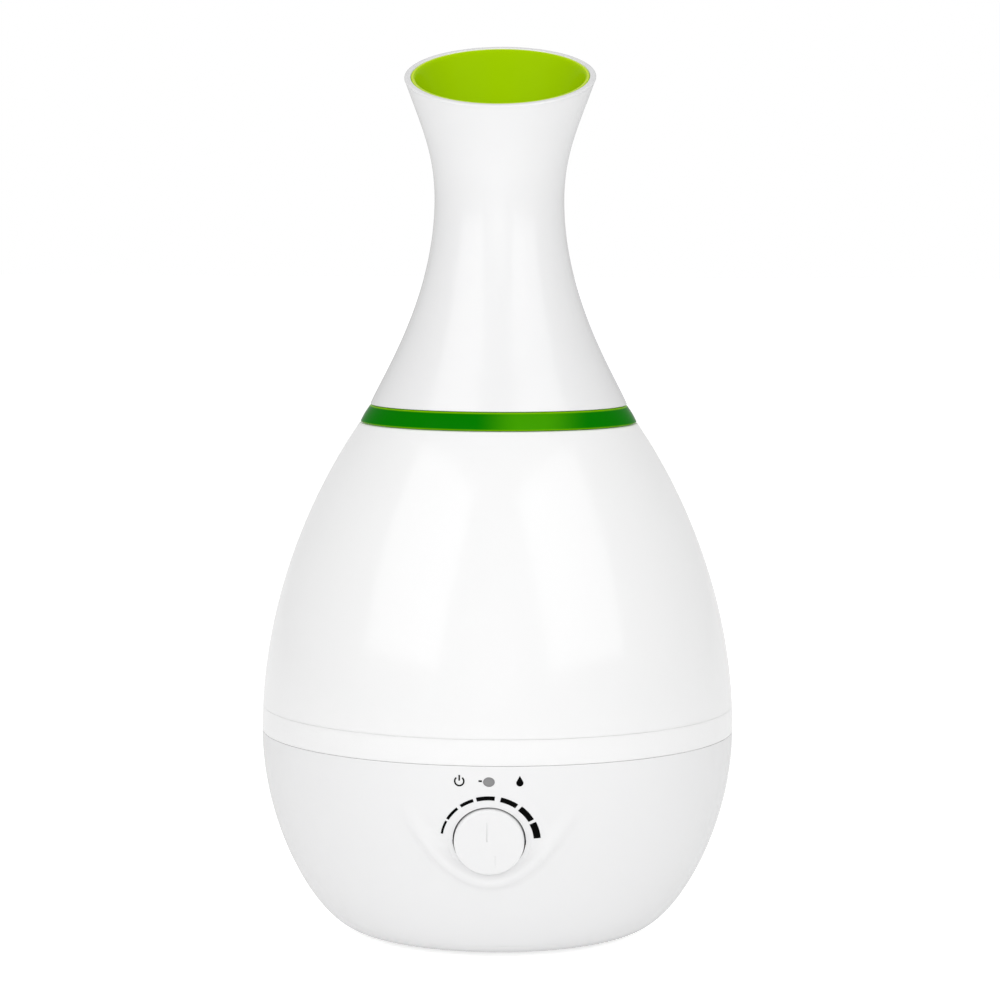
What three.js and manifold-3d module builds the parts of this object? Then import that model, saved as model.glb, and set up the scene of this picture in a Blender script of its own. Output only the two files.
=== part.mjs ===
// Cool mist humidifier: a vase-shaped water tank with a slanted mist mouth, on a round powered base.
// Millimetres, +Z up, origin on the floor under the centre, the control knob to the front (-Y).
import * as THREE from 'three';
import { mergeVertices } from 'three/addons/utils/BufferGeometryUtils.js';
import Module from 'manifold-3d';

const wasm = await Module();
wasm.setup();

// ---------------------------------------------------------------- driving sizes

const GAP = 0.3;                 // clearance between pieces that touch
const SLIP = 0.4;                // clearance between pieces that slide or lift apart
const BIG_SEGMENTS = 28;         // facets round the casings
const MID_SEGMENTS = 20;         // facets round the knob, cap and mist tube
const SMALL_SEGMENTS = 14;       // facets round the small parts
const POST_SEGMENTS = 8;         // facets round posts, pins and screws

// outline of the casing, as radius and height
const BASE_Z = 2;                // underside of the base, held up by the feet
const BASE_FOOT_R = 66;
const BODY_R = 110;              // widest, at the seam between base and tank
const SEAM_Z = 94.3;
const SEAM_GAP = 0.6;
const BAND_HEIGHT = 11.1;        // the tank's lower band
const TANK_TOP_R = 64.3;
const TANK_HEIGHT = 142.8;       // from the seam gap to the tank's shoulder
const COLLAR_HEIGHT = 8;
const COLLAR_SHRINK = 4.5;       // how much the collar narrows upwards
const WAIST_R = 30;
const WAIST_RISE = 94.8;           // waist above the collar
const FLARE_R = 50.1;
const FLARE_RISE = 73.2;           // end of the flare above the waist
const MOUTH_RISE = 55.6;         // mouth's middle above the waist
const MOUTH_TILT = 18.8;         // degrees, the mouth slants down to the front

// walls
const BASE_WALL = 2.8;
const TANK_WALL = 2.4;
const NECK_WALL = 3;
const LINER_WALL = 1.6;

// controls
const KNOB_Z = 60.1;
const KNOB_TILT = 12.5;          // degrees, the knob's face looks a little downwards
const KNOB_R = 15.5;
const KNOB_GAP = 0.6;            // ring of air round the knob
const WELL_DEPTH = 7;
const SHAFT_R = 3;
const INDICATOR_Z = 87.4;
const INDICATOR_R = 2.45;
const INLET_Z = 34;
const INLET_R = 5;

// water side
const TRAY_FLOOR_Z = 56;
const TRAY_WALL = 2.5;
const CONTROL_ROOM = 30.5;       // between the ledge and the water bowl, for knob and indicator
const MIST_R = 15;               // outside of the mist tube
const MIST_WALL = 1.9;
const CAP_R = 23;
const CAP_ROOM = 4;              // between the tank cap and the bowl's wall
const VALVE_STROKE = 4;
const FLOAT_R = 10;
const FLOAT_RISE = 8;

// air side and fasteners
const FAN_SIZE = 45;
const FAN_Y = 34;
const FAN_HEIGHT = 13.5;
const REBATE_R = 63;             // recess under the base for the bottom cover
const COVER_THICKNESS = 2.5;
const SCREW_SHANK_R = 1.45;
const SCREW_HEAD_R = 3;
const FOOT_R = 6;

// ---------------------------------------------------------------- making solids

const radians = THREE.MathUtils.degToRad;

// Closed solid in manifold-3d from a three.js geometry whose shared vertices are merged.
function solidOf(geometry) {
  const bare = geometry.clone();
  bare.deleteAttribute('normal');
  bare.deleteAttribute('uv');
  const welded = mergeVertices(bare, 1e-4);
  const corners = welded.index.array;
  const triangles = [];
  for (let i = 0; i < corners.length; i += 3) {
    const [a, b, c] = [corners[i], corners[i + 1], corners[i + 2]];
    if (a !== b && b !== c && c !== a) triangles.push(a, b, c);
  }
  return new wasm.Manifold(new wasm.Mesh({
    numProp: 3,
    vertProperties: Float32Array.from(welded.attributes.position.array),
    triVerts: Uint32Array.from(triangles),
  }));
}

function geometryOf(solid) {
  const mesh = solid.getMesh();
  const geometry = new THREE.BufferGeometry();
  geometry.setAttribute('position', new THREE.BufferAttribute(mesh.vertProperties, 3));
  geometry.setIndex(new THREE.BufferAttribute(mesh.triVerts, 1));
  return geometry;
}

function join(first, ...others) {
  return geometryOf(others.reduce((sum, other) => sum.add(solidOf(other)), solidOf(first)));
}

function cut(first, ...tools) {
  return geometryOf(tools.reduce((rest, tool) => rest.subtract(solidOf(tool)), solidOf(first)));
}

function common(first, second) {
  return geometryOf(solidOf(first).intersect(solidOf(second)));
}

// Turns a profile of [radius, height] points round the Z axis, closed on itself or on the axis.
function revolve(profile, segments = SMALL_SEGMENTS) {
  const points = profile.map(([r, z]) => new THREE.Vector2(r, z));
  if (THREE.ShapeUtils.area(points) < 0) points.reverse();
  const offAxis = points.findIndex((point) => point.x === 0) < 0;
  if (offAxis) {
    points.push(points[0]);
  } else {
    // the axis points come first and last, so that the profile runs from one to the other
    while (points[0].x !== 0 || points[points.length - 1].x !== 0) points.push(points.shift());
    if (points[0].y > points[points.length - 1].y) points.push(points.shift());
  }
  return new THREE.LatheGeometry(points, segments).rotateX(Math.PI / 2);
}

function disc(radius, low, high, segments = SMALL_SEGMENTS) {
  const height = high - low;
  const geometry = new THREE.CylinderGeometry(radius, radius, height, segments);
  return geometry.rotateX(Math.PI / 2).translate(0, 0, (low + high) / 2);
}

function ring(inner, outer, low, high, segments = SMALL_SEGMENTS) {
  return revolve([[inner, low], [outer, low], [outer, high], [inner, high]], segments);
}

function block(width, depth, low, high) {
  return new THREE.BoxGeometry(width, depth, high - low).translate(0, 0, (low + high) / 2);
}

// Places on a circle round the origin, from a list of angles in degrees.
function around(radius, angles) {
  return angles.map((angle) => [
    radius * Math.cos(radians(angle)),
    radius * Math.sin(radians(angle)),
  ]);
}

function corners(halfWidth, halfDepth, y = 0) {
  return [[1, 1], [-1, 1], [-1, -1], [1, -1]].map(([a, b]) => [a * halfWidth, y + b * halfDepth]);
}

// Copies of one shape at several [x, y] places.
function copies(shape, places) {
  return places.map(([x, y]) => shape.clone().translate(x, y, 0));
}

// ---------------------------------------------------------------- outlines

// Points along a cubic curve given by its start, two handles and end.
function curve(steps, ...points) {
  const bezier = new THREE.CubicBezierCurve(...points.map(([r, z]) => new THREE.Vector2(r, z)));
  return bezier.getPoints(steps).map((point) => [point.x, point.y]);
}

// The same outline moved inwards by a wall's thickness.
function inset(outline, wall) {
  return outline.map(([r, z], i) => {
    const before = outline[Math.max(i - 1, 0)];
    const after = outline[Math.min(i + 1, outline.length - 1)];
    const along = new THREE.Vector2(after[0] - before[0], after[1] - before[1]).normalize();
    return [r - wall * along.y, z + wall * along.x];
  });
}

// Every second point of an outline, and its end, for walls that are out of sight.
function coarser(outline) {
  return outline.filter((point, i) => i % 2 === 0 || i === outline.length - 1);
}

function radiusAt(outline, height) {
  const i = outline.findIndex(([, z], k) => k > 0 && z >= height);
  const last = i < 0 ? outline.length - 1 : i;
  const [[r0, z0], [r1, z1]] = [outline[last - 1], outline[last]];
  return r0 + (r1 - r0) * (height - z0) / (z1 - z0);
}

// The part of an outline between two heights, from low to high.
function stretch(outline, low, high) {
  const inside = outline.filter(([, z]) => z > low + 0.01 && z < high - 0.01);
  return [[radiusAt(outline, low), low], ...inside, [radiusAt(outline, high), high]];
}

// Degrees by which an outline's surface looks downwards at a height.
function overhangAt(outline, height) {
  const rise = 8;
  const run = radiusAt(outline, height + rise / 2) - radiusAt(outline, height - rise / 2);
  return THREE.MathUtils.radToDeg(Math.atan2(run, rise));
}

const TANK_Z = SEAM_Z + SEAM_GAP;
const BAND_TOP = TANK_Z + BAND_HEIGHT;
const TANK_TOP = TANK_Z + TANK_HEIGHT;
const COLLAR_Z = TANK_TOP;
const COLLAR_TOP = COLLAR_Z + COLLAR_HEIGHT;
const NECK_FOOT_R = TANK_TOP_R - COLLAR_SHRINK;
const WAIST_Z = COLLAR_TOP + WAIST_RISE;
const FLARE_Z = WAIST_Z + FLARE_RISE;
const MOUTH_Z = WAIST_Z + MOUTH_RISE;

const baseOutline = curve(7,
  [BASE_FOOT_R, BASE_Z], [BASE_FOOT_R + 17, BASE_Z],
  [BODY_R, SEAM_Z - 47], [BODY_R, SEAM_Z]);
const tankOutline = curve(8,
  [BODY_R, SEAM_Z], [BODY_R, SEAM_Z + 59],
  [TANK_TOP_R + 23, TANK_TOP - 33], [TANK_TOP_R, TANK_TOP]);
const neckOutline = [
  ...curve(4,
    [NECK_FOOT_R, COLLAR_TOP], [NECK_FOOT_R - 5, COLLAR_TOP + 12.3],
    [WAIST_R, WAIST_Z - 45.6], [WAIST_R, WAIST_Z]),
  ...curve(4,
    [WAIST_R, WAIST_Z], [WAIST_R, WAIST_Z + 26.4],
    [FLARE_R - 10.5, FLARE_Z - 34.5], [FLARE_R, FLARE_Z]).slice(1),
];
const baseInside = coarser(inset(baseOutline, BASE_WALL));
const tankInside = coarser(inset(tankOutline, TANK_WALL));
const neckInside = inset(neckOutline, NECK_WALL);
const linerOutside = inset(neckOutline, NECK_WALL + GAP);
const linerInside = inset(neckOutline, NECK_WALL + GAP + LINER_WALL);

// ---------------------------------------------------------------- materials

function plastic(color, roughness = 0.35) {
  return new THREE.MeshStandardMaterial({ color, roughness, metalness: 0 });
}

function metal(color, roughness = 0.3) {
  return new THREE.MeshStandardMaterial({ color, roughness, metalness: 1 });
}

const whiteCasing = () => plastic(0xf1f1f2, 0.3);
const milkyTank = () => plastic(0xf6f6f5, 0.25);
const limeClear = () => plastic(0x9fc905, 0.15);
const greenClear = () => plastic(0x198202, 0.12);
const innerWhite = () => plastic(0xdfe0e0, 0.5);
const greyPlastic = () => plastic(0x8f9090, 0.4);
const blackPlastic = () => plastic(0x232426, 0.5);
const rubber = () => plastic(0x3a3b3d, 0.85);
const silicone = () => plastic(0xd9d6cf, 0.7);
const steel = () => metal(0xb9bcc0, 0.3);
const aluminium = () => metal(0xc9ccd0, 0.4);
const nickel = () => metal(0xd8d4c8, 0.2);
const boardGreen = () => plastic(0x1f6b3a, 0.45);

// ---------------------------------------------------------------- scene graph

const humidifier = new THREE.Group();

function piece(name, geometry, material, parent = humidifier) {
  const mesh = new THREE.Mesh(geometryOf(solidOf(geometry)), material);
  mesh.name = name;
  parent.add(mesh);
  return mesh;
}

// A frame on the casing whose +Z looks outwards, tilted down from the horizontal.
function surfaceFrame(radius, height, tilt, atBack = false) {
  const frame = new THREE.Group();
  const turn = radians(90 + tilt);
  frame.position.set(0, atBack ? radius : -radius, height);
  frame.rotation.x = atBack ? -turn : turn;
  frame.updateMatrix();
  humidifier.add(frame);
  return frame;
}

const inFrame = (geometry, frame) => geometry.clone().applyMatrix4(frame.matrix);

// ---------------------------------------------------------------- base casing

const LEDGE_Z = SEAM_Z - 2.8;            // top of the ledge that carries the tray
const LEDGE_THICKNESS = 2;
const LEDGE_WIDTH = 6.7;
const FLANGE_Z = BASE_Z + COVER_THICKNESS + GAP;
const FLANGE_THICKNESS = 2.2;
const FLANGE_WIDTH = 3.5;
const PAD_PROUD = 0.2;                   // control pad's face above the casing at the knob
const PAD_TOP_Z = KNOB_Z + 21;
const PAD_LIP_Z = KNOB_Z - 21.2;
const PAD_LIP_PROUD = 2.2;
const PAD_HALF_WIDTH = 38;
const WELL_R = KNOB_R + KNOB_GAP;
const WELL_WALL = 2.2;
const BUSHING_R = SHAFT_R + GAP + 0.9;

const ledgeR = radiusAt(baseInside, LEDGE_Z) - LEDGE_WIDTH;
const flangeR = REBATE_R - FLANGE_WIDTH;
const padR = radiusAt(baseOutline, KNOB_Z) + PAD_PROUD;

const knobFrame = surfaceFrame(padR, KNOB_Z, KNOB_TILT);
const indicatorFrame = surfaceFrame(
  radiusAt(baseOutline, INDICATOR_Z), INDICATOR_Z, overhangAt(baseOutline, INDICATOR_Z));
const inletFrame = surfaceFrame(
  radiusAt(baseOutline, INLET_Z), INLET_Z, overhangAt(baseOutline, INLET_Z), true);

// U-shaped pad round the knob: flush at the top, a raised lip at the bottom.
function controlPad() {
  const buried = 1.4;
  const outer = [
    [radiusAt(baseOutline, PAD_LIP_Z - 1.5) - 0.8, PAD_LIP_Z - 1.5],
    [radiusAt(baseOutline, PAD_LIP_Z) + PAD_LIP_PROUD, PAD_LIP_Z],
    [padR, KNOB_Z],
    [radiusAt(baseOutline, PAD_TOP_Z) - 0.2, PAD_TOP_Z],
  ];
  const inner = [PAD_TOP_Z, KNOB_Z, PAD_LIP_Z - 1.5].map(
    (z) => [radiusAt(baseOutline, z) - buried, z]);
  const band = revolve([...outer, ...inner], BIG_SEGMENTS);
  const outline = new THREE.Shape();
  outline.moveTo(-PAD_HALF_WIDTH, PAD_TOP_Z + 1);
  outline.bezierCurveTo(
    -PAD_HALF_WIDTH + 4, KNOB_Z - 8, -18, PAD_LIP_Z - 2, 0, PAD_LIP_Z - 2);
  outline.bezierCurveTo(
    18, PAD_LIP_Z - 2, PAD_HALF_WIDTH - 4, KNOB_Z - 8, PAD_HALF_WIDTH, PAD_TOP_Z + 1);
  const prism = new THREE.ExtrudeGeometry(outline, {
    depth: BODY_R, bevelEnabled: false, curveSegments: 4,
  });
  return common(band, prism.rotateX(Math.PI / 2));
}

function baseShell() {
  const casing = revolve([
    ...stretch(baseOutline, BASE_Z, SEAM_Z),
    ...stretch(baseInside, LEDGE_Z, SEAM_Z).reverse(),
    [ledgeR, LEDGE_Z],
    [ledgeR, LEDGE_Z - LEDGE_THICKNESS],
    ...stretch(baseInside, FLANGE_Z + FLANGE_THICKNESS, LEDGE_Z - LEDGE_THICKNESS).reverse(),
    [flangeR, FLANGE_Z + FLANGE_THICKNESS],
    [flangeR, FLANGE_Z],
    [REBATE_R, FLANGE_Z],
    [REBATE_R, BASE_Z],
  ], BIG_SEGMENTS);
  const cup = disc(WELL_R + WELL_WALL, -WELL_DEPTH - WELL_WALL, -2.4, MID_SEGMENTS);
  const well = disc(WELL_R, -WELL_DEPTH, 8, MID_SEGMENTS);
  const bushingHole = disc(BUSHING_R + GAP, -WELL_DEPTH - 4, 0);
  const indicatorHole = disc(INDICATOR_R + GAP, -12, 4);
  const inletHole = disc(INLET_R + GAP, -8, 6);
  return cut(
    join(casing, controlPad(), inFrame(cup, knobFrame)),
    inFrame(well, knobFrame),
    inFrame(bushingHole, knobFrame),
    inFrame(indicatorHole, indicatorFrame),
    inFrame(inletHole, inletFrame),
  );
}

piece('base_shell', baseShell(), whiteCasing());

// ---------------------------------------------------------------- bottom cover, feet, screws

const footPlaces = around(REBATE_R - 11, [45, 135, 225, 315]);
const screwPlaces = around(REBATE_R - 13, [22.5, 157.5, 202.5, 337.5]);
const coverTop = BASE_Z + COVER_THICKNESS;
const bossTop = coverTop + 2.5;
const SCREW_SEAT_Z = BASE_Z + 3;
const BOARD_Z = 10;                      // underside of the power board and of the fan
const POST_R = 2.6;
const boardPosts = corners(25, 17, -28);
const fanPosts = corners(FAN_SIZE / 2 - 4, FAN_SIZE / 2 - 4, FAN_Y);

function bottomCover() {
  const plate = disc(REBATE_R - GAP, BASE_Z, coverTop, BIG_SEGMENTS);
  const bosses = copies(disc(SCREW_HEAD_R + 2, coverTop - 0.5, bossTop, 10), screwPlaces);
  const post = disc(POST_R, coverTop - 0.5, BOARD_Z - GAP, POST_SEGMENTS);
  const posts = copies(post, [...boardPosts, ...fanPosts]);
  const footPockets = copies(disc(FOOT_R + GAP, BASE_Z - 1, BASE_Z + 1.1, 12), footPlaces);
  const headPockets = copies(
    disc(SCREW_HEAD_R + GAP, BASE_Z - 1, SCREW_SEAT_Z, 10), screwPlaces);
  const shankHoles = copies(
    disc(SCREW_SHANK_R + GAP, BASE_Z, bossTop + 1, POST_SEGMENTS), screwPlaces);
  const slots = [-14, -7, 0, 7, 14].map(
    (x) => block(3.4, 34, BASE_Z - 1, coverTop + 1).translate(x, FAN_Y, 0));
  return cut(
    join(plate, ...bosses, ...posts), ...footPockets, ...headPockets, ...shankHoles, ...slots);
}

piece('bottom_cover', bottomCover(), innerWhite());

footPlaces.forEach(([x, y], i) => {
  const foot = revolve([[0, 0], [FOOT_R - 0.8, 0], [FOOT_R, 0.8], [FOOT_R, 2.8], [0, 2.8]], 12);
  piece(`foot_${i + 1}`, foot, rubber()).position.set(x, y, 0);
});

const POST_HOLE_TOP = 18;
screwPlaces.forEach(([x, y], i) => {
  const headLow = SCREW_SEAT_Z - GAP - 1.7;
  const screw = revolve([
    [0, headLow], [SCREW_HEAD_R, headLow], [SCREW_HEAD_R, SCREW_SEAT_Z - GAP],
    [SCREW_SHANK_R, SCREW_SEAT_Z - GAP], [SCREW_SHANK_R, POST_HOLE_TOP - 1.5],
    [0, POST_HOLE_TOP - GAP]], POST_SEGMENTS);
  piece(`bottom_screw_${i + 1}`, screw, steel()).position.set(x, y, 0);
});

// ---------------------------------------------------------------- water tray

const trayFloorTop = TRAY_FLOOR_Z + TRAY_WALL;
const trayRimZ = LEDGE_Z + GAP;
const trayRimTop = trayRimZ + 2;
const trayRimR = radiusAt(baseInside, trayRimZ) - SLIP;
const bowlR = ledgeR - CONTROL_ROOM;
const BOWL_WALL_TOP = 78;
const capX = bowlR - CAP_R - CAP_ROOM;
const FLOAT_ROOM = 30;                   // between the float's middle and the bowl's wall
const floatX = FLOAT_ROOM - bowlR;
const PORT_R = 12.2;                     // hole that lets the fan's air in
const PORT_WALL = 1.8;
const PORT_TOP = 81;
const EYE_R = 9.3;                       // hole over the transducer
const SEAL_R = 12.7;
const clampPlaces = around(18, [30, 150, 270]);
const driverPosts = corners(26, 19, -12);
const DRIVER_Z = 40;
const BOARD_THICKNESS = 1.6;
const STAKE_R = 1.4;
const PIN_TOP = 79.4;                    // push pin that opens the tank's valve

function basinTray() {
  const bowl = revolve([
    [EYE_R, TRAY_FLOOR_Z],
    [bowlR + TRAY_WALL, TRAY_FLOOR_Z],
    [bowlR + TRAY_WALL, BOWL_WALL_TOP],
    [ledgeR - 5, trayRimZ - 4.8],
    [ledgeR - 3, trayRimZ],
    [trayRimR, trayRimZ],
    [trayRimR, trayRimTop],
    [ledgeR - 5.2, trayRimTop],
    [ledgeR - 7, trayRimZ - 2.6],
    [bowlR, BOWL_WALL_TOP + 2.2],
    [bowlR, trayFloorTop],
    [EYE_R, trayFloorTop],
  ], BIG_SEGMENTS);
  const root = TRAY_FLOOR_Z + 0.5;
  const sealBoss = ring(SEAL_R + GAP, SEAL_R + 2.8, TRAY_FLOOR_Z - 4, root);
  const clampBosses = copies(disc(3, TRAY_FLOOR_Z - 4, root, POST_SEGMENTS), clampPlaces);
  const longPosts = copies(disc(4, bossTop + GAP, root, POST_SEGMENTS), screwPlaces);
  const shortPosts = copies(disc(3, DRIVER_Z + BOARD_THICKNESS + GAP, root, POST_SEGMENTS), driverPosts);
  const stakes = copies(disc(STAKE_R, DRIVER_Z - 1.5, root, POST_SEGMENTS), driverPosts);
  const pushPin = disc(3, trayFloorTop - 0.5, PIN_TOP, POST_SEGMENTS).translate(capX, 0, 0);
  const pinFoot = disc(6, trayFloorTop - 0.5, trayFloorTop + 2, POST_SEGMENTS).translate(capX, 0, 0);
  const port = disc(PORT_R, TRAY_FLOOR_Z - 1, trayFloorTop + 1).translate(0, FAN_Y, 0);
  const screwHoles = copies(
    disc(SCREW_SHANK_R + GAP, bossTop - 1, POST_HOLE_TOP, POST_SEGMENTS), screwPlaces);
  const clampHoles = copies(
    disc(1.5, TRAY_FLOOR_Z - 5, TRAY_FLOOR_Z - 0.4, POST_SEGMENTS), clampPlaces);
  const body = join(
    bowl, sealBoss, ...clampBosses, ...longPosts, ...shortPosts, ...stakes, pushPin, pinFoot);
  return cut(body, port, ...screwHoles, ...clampHoles);
}

piece('basin_tray', basinTray(), whiteCasing());
piece('tray_chimney', ring(
  PORT_R, PORT_R + PORT_WALL, trayFloorTop + GAP, PORT_TOP), whiteCasing())
  .position.set(0, FAN_Y, 0);

// ---------------------------------------------------------------- mist transducer

const sealTop = TRAY_FLOOR_Z - GAP;
const sealLow = sealTop - 3.8;
const LIP = 0.9;
const discLow = sealLow + LIP + GAP;
const discTop = sealTop - LIP - GAP;
const DISC_R = SEAL_R - 2.1;
const lipR = EYE_R - 1.1;

piece('transducer_seal', revolve([
  [lipR, sealLow], [SEAL_R, sealLow], [SEAL_R, sealTop], [lipR, sealTop],
  [lipR, sealTop - LIP], [DISC_R + GAP, sealTop - LIP],
  [DISC_R + GAP, sealLow + LIP], [lipR, sealLow + LIP],
]), silicone());
piece('transducer_disc', revolve([
  [0, discLow - 0.4], [4, discLow - 0.4], [4, discLow], [DISC_R, discLow], [DISC_R, discTop],
  [0, discTop]]), nickel());

function transducerClamp() {
  const low = sealLow - GAP - 2.3;
  const high = sealLow - GAP;
  const plate = disc(16, low, high);
  const ears = copies(disc(3.4, low, high, POST_SEGMENTS), clampPlaces);
  const holes = copies(disc(1.5, low - 1, high + 1, POST_SEGMENTS), clampPlaces);
  return cut(join(plate, ...ears), disc(lipR, low - 1, high + 1), ...holes);
}

piece('transducer_clamp', transducerClamp(), steel());

clampPlaces.forEach(([x, y], i) => {
  const seat = sealLow - 2 * GAP - 2.3;
  const screw = revolve([
    [0, seat - 1.4], [2.5, seat - 1.4], [2.5, seat], [1.2, seat],
    [1.2, TRAY_FLOOR_Z - 1.4], [0, TRAY_FLOOR_Z - 0.8]], POST_SEGMENTS);
  piece(`clamp_screw_${i + 1}`, screw, steel()).position.set(x, y, 0);
});

// ---------------------------------------------------------------- circuit boards

function driverBoard() {
  const top = DRIVER_Z + BOARD_THICKNESS;
  const plate = block(60, 48, DRIVER_Z, top).translate(0, -12, 0);
  const coil = disc(4, top - 0.5, top + 4.4, POST_SEGMENTS).translate(-12, -28, 0);
  const choke = block(11, 8, top - 0.5, top + 4).translate(11, -28, 0);
  const chip = block(8, 6, top - 0.5, top + 1.6).translate(-19, -8, 0);
  const holes = copies(disc(STAKE_R + GAP, DRIVER_Z - 1, top + 1, POST_SEGMENTS), driverPosts);
  return cut(join(plate, coil, choke, chip), ...holes);
}

piece('driver_board', driverBoard(), boardGreen());

function heatsink() {
  const [fins, pitch, thickness, height, base] = [5, 7, 1.8, 12, 3];
  const outline = new THREE.Shape();
  const half = (pitch * (fins - 1) + thickness) / 2;
  outline.moveTo(-half, 0);
  for (let i = 0; i < fins; i += 1) {
    const x = -half + i * pitch;
    outline.lineTo(x, -height);
    outline.lineTo(x + thickness, -height);
    if (i < fins - 1) {
      outline.lineTo(x + thickness, -base);
      outline.lineTo(x + pitch, -base);
    }
  }
  outline.lineTo(half, 0);
  const bar = new THREE.ExtrudeGeometry(outline, { depth: 20, bevelEnabled: false });
  return bar.rotateX(Math.PI / 2).translate(0, 6, DRIVER_Z - GAP);
}

piece('heatsink', heatsink(), aluminium());

function powerBoard() {
  const top = BOARD_Z + BOARD_THICKNESS;
  const plate = block(58, 42, BOARD_Z, top).translate(0, -28, 0);
  const transformer = block(24, 20, top - 0.5, top + 17).translate(-9, -33, 0);
  const capacitor = disc(6, top - 0.5, top + 14, 10).translate(14, -36, 0);
  const relay = block(12, 8, top - 0.5, top + 9).translate(13, -18, 0);
  const connector = block(9, 6, top - 0.5, top + 7).translate(-12, -13, 0);
  return join(plate, transformer, capacitor, relay, connector);
}

piece('power_board', powerBoard(), boardGreen());

// ---------------------------------------------------------------- knob and potentiometer

const POT_TOP = -WELL_DEPTH - WELL_WALL - SLIP;
const POT_DEPTH = 10.4;
const BUSHING_TOP = -3.5;
const SHAFT_LOW = POT_TOP - 3;
const SHAFT_TOP = -0.9;

function potentiometer() {
  const can = disc(8.2, POT_TOP - POT_DEPTH, POT_TOP);
  const bushing = disc(BUSHING_R, POT_TOP - 1, BUSHING_TOP);
  const tabs = [-5, 0, 5].map(
    (x) => block(1.4, 5, POT_TOP - POT_DEPTH + 1, POT_TOP - POT_DEPTH + 2).translate(x, -9, 0));
  const bore = disc(SHAFT_R + GAP, SHAFT_LOW - GAP, 0);
  return cut(join(can, bushing, ...tabs), bore);
}

piece('potentiometer', potentiometer(), steel(), knobFrame);
piece('pot_nut', cut(
  disc(BUSHING_R + 2.6, -WELL_DEPTH + GAP, -WELL_DEPTH + 2.3, 6),
  disc(BUSHING_R + GAP, -WELL_DEPTH, 0)), steel(), knobFrame);
piece('pot_shaft', disc(SHAFT_R, SHAFT_LOW, SHAFT_TOP), aluminium(), knobFrame);

function controlKnob() {
  const skirtLow = -WELL_DEPTH + 1.5;
  const shell = revolve([
    [SHAFT_R + GAP, BUSHING_TOP + SLIP],
    [SHAFT_R + 2.6, BUSHING_TOP + SLIP],
    [SHAFT_R + 2.6, -1.2],
    [KNOB_R - 1.9, -1.2],
    [KNOB_R - 1.9, skirtLow],
    [KNOB_R, skirtLow],
    [KNOB_R, 0.4],
    [KNOB_R - 0.7, 1.1],
    [KNOB_R / 2, 1.7],
    [0, 1.9],
    [0, SHAFT_TOP + GAP],
    [SHAFT_R + GAP, SHAFT_TOP + GAP],
  ], MID_SEGMENTS);
  const pointer = block(0.9, KNOB_R * 0.75, 1.1, 4).translate(0, KNOB_R * 0.42, 0);
  return cut(shell, pointer);
}

piece('control_knob', controlKnob(), whiteCasing(), knobFrame);

// ---------------------------------------------------------------- indicator and power inlet

piece('indicator_lens', revolve([
  [0, -BASE_WALL - 0.8], [INDICATOR_R, -BASE_WALL - 0.8], [INDICATOR_R, 0.1],
  [INDICATOR_R * 0.6, 0.5], [0, 0.6]], 12), greyPlastic(), indicatorFrame);

function indicatorLed() {
  const bulb = disc(INDICATOR_R - 0.2, -BASE_WALL - 5.4, -BASE_WALL - 1.2, 10);
  const legs = [-0.7, 0.7].map(
    (x) => block(0.5, 0.5, -BASE_WALL - 8.2, -BASE_WALL - 5).translate(x, 0, 0));
  return join(bulb, ...legs);
}

piece('indicator_led', indicatorLed(), greyPlastic(), indicatorFrame);

function powerInlet() {
  const barrel = disc(INLET_R, -12, 1);
  const flange = disc(INLET_R + 2.5, 0.5, 1.7);
  const bore = disc(3.2, -8, 3);
  const contact = disc(0.9, -9, -1, 8);
  return join(cut(join(barrel, flange), bore), contact);
}

piece('power_inlet', powerInlet(), blackPlastic(), inletFrame);
piece('inlet_nut', cut(
  disc(INLET_R + 3, -BASE_WALL - 4.2, -BASE_WALL - 1.4, 6),
  disc(INLET_R + GAP, -20, 0)), steel(), inletFrame);

// ---------------------------------------------------------------- fan and air duct

const fan = new THREE.Group();
fan.position.set(0, FAN_Y, 0);
humidifier.add(fan);

const fanTop = BOARD_Z + FAN_HEIGHT;
const ROTOR_R = FAN_SIZE / 2 - 2.6;
const HUB_R = 9.8;
const HUB_WALL = 2;
const MOTOR_R = HUB_R - HUB_WALL - 1.5;
const SPINDLE_R = 1.3;
const PLATE_THICKNESS = 1.6;
const BLADES = 7;

function fanHousing() {
  const frame = block(FAN_SIZE, FAN_SIZE, BOARD_Z, fanTop);
  const throat = disc(ROTOR_R + 0.7, BOARD_Z - 1, fanTop + 1, MID_SEGMENTS);
  const plate = disc(HUB_R - 0.3, fanTop - PLATE_THICKNESS, fanTop);
  const reach = ROTOR_R + 1;
  const strut = block(2.4, reach, fanTop - PLATE_THICKNESS, fanTop).translate(0, reach / 2, 0);
  const struts = [0, 120, 240].map((angle) => strut.clone().rotateZ(radians(angle)));
  return join(cut(frame, throat), plate, ...struts);
}

piece('fan_housing', fanHousing(), blackPlastic(), fan);
piece('fan_motor', ring(
  SPINDLE_R + GAP, MOTOR_R, BOARD_Z + 3.4, fanTop - PLATE_THICKNESS - GAP), steel(), fan);

function fanRotor() {
  const low = BOARD_Z + 1;
  const high = fanTop - PLATE_THICKNESS - 0.5;
  const hub = revolve([
    [0, low], [HUB_R, low], [HUB_R, high], [HUB_R - HUB_WALL, high], [HUB_R - HUB_WALL, low + 1.7],
    [SPINDLE_R, low + 1.7], [SPINDLE_R, high - 0.5], [0, high - 0.5]]);
  const reach = ROTOR_R - HUB_R + 1;
  const blades = [];
  for (let i = 0; i < BLADES; i += 1) {
    blades.push(new THREE.BoxGeometry(reach, 1.1, 10)
      .rotateX(radians(40))
      .translate(HUB_R - 1 + reach / 2, 0, (low + high) / 2)
      .rotateZ(i * 2 * Math.PI / BLADES));
  }
  return join(hub, ...blades);
}

piece('fan_rotor', fanRotor(), blackPlastic(), fan);

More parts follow.
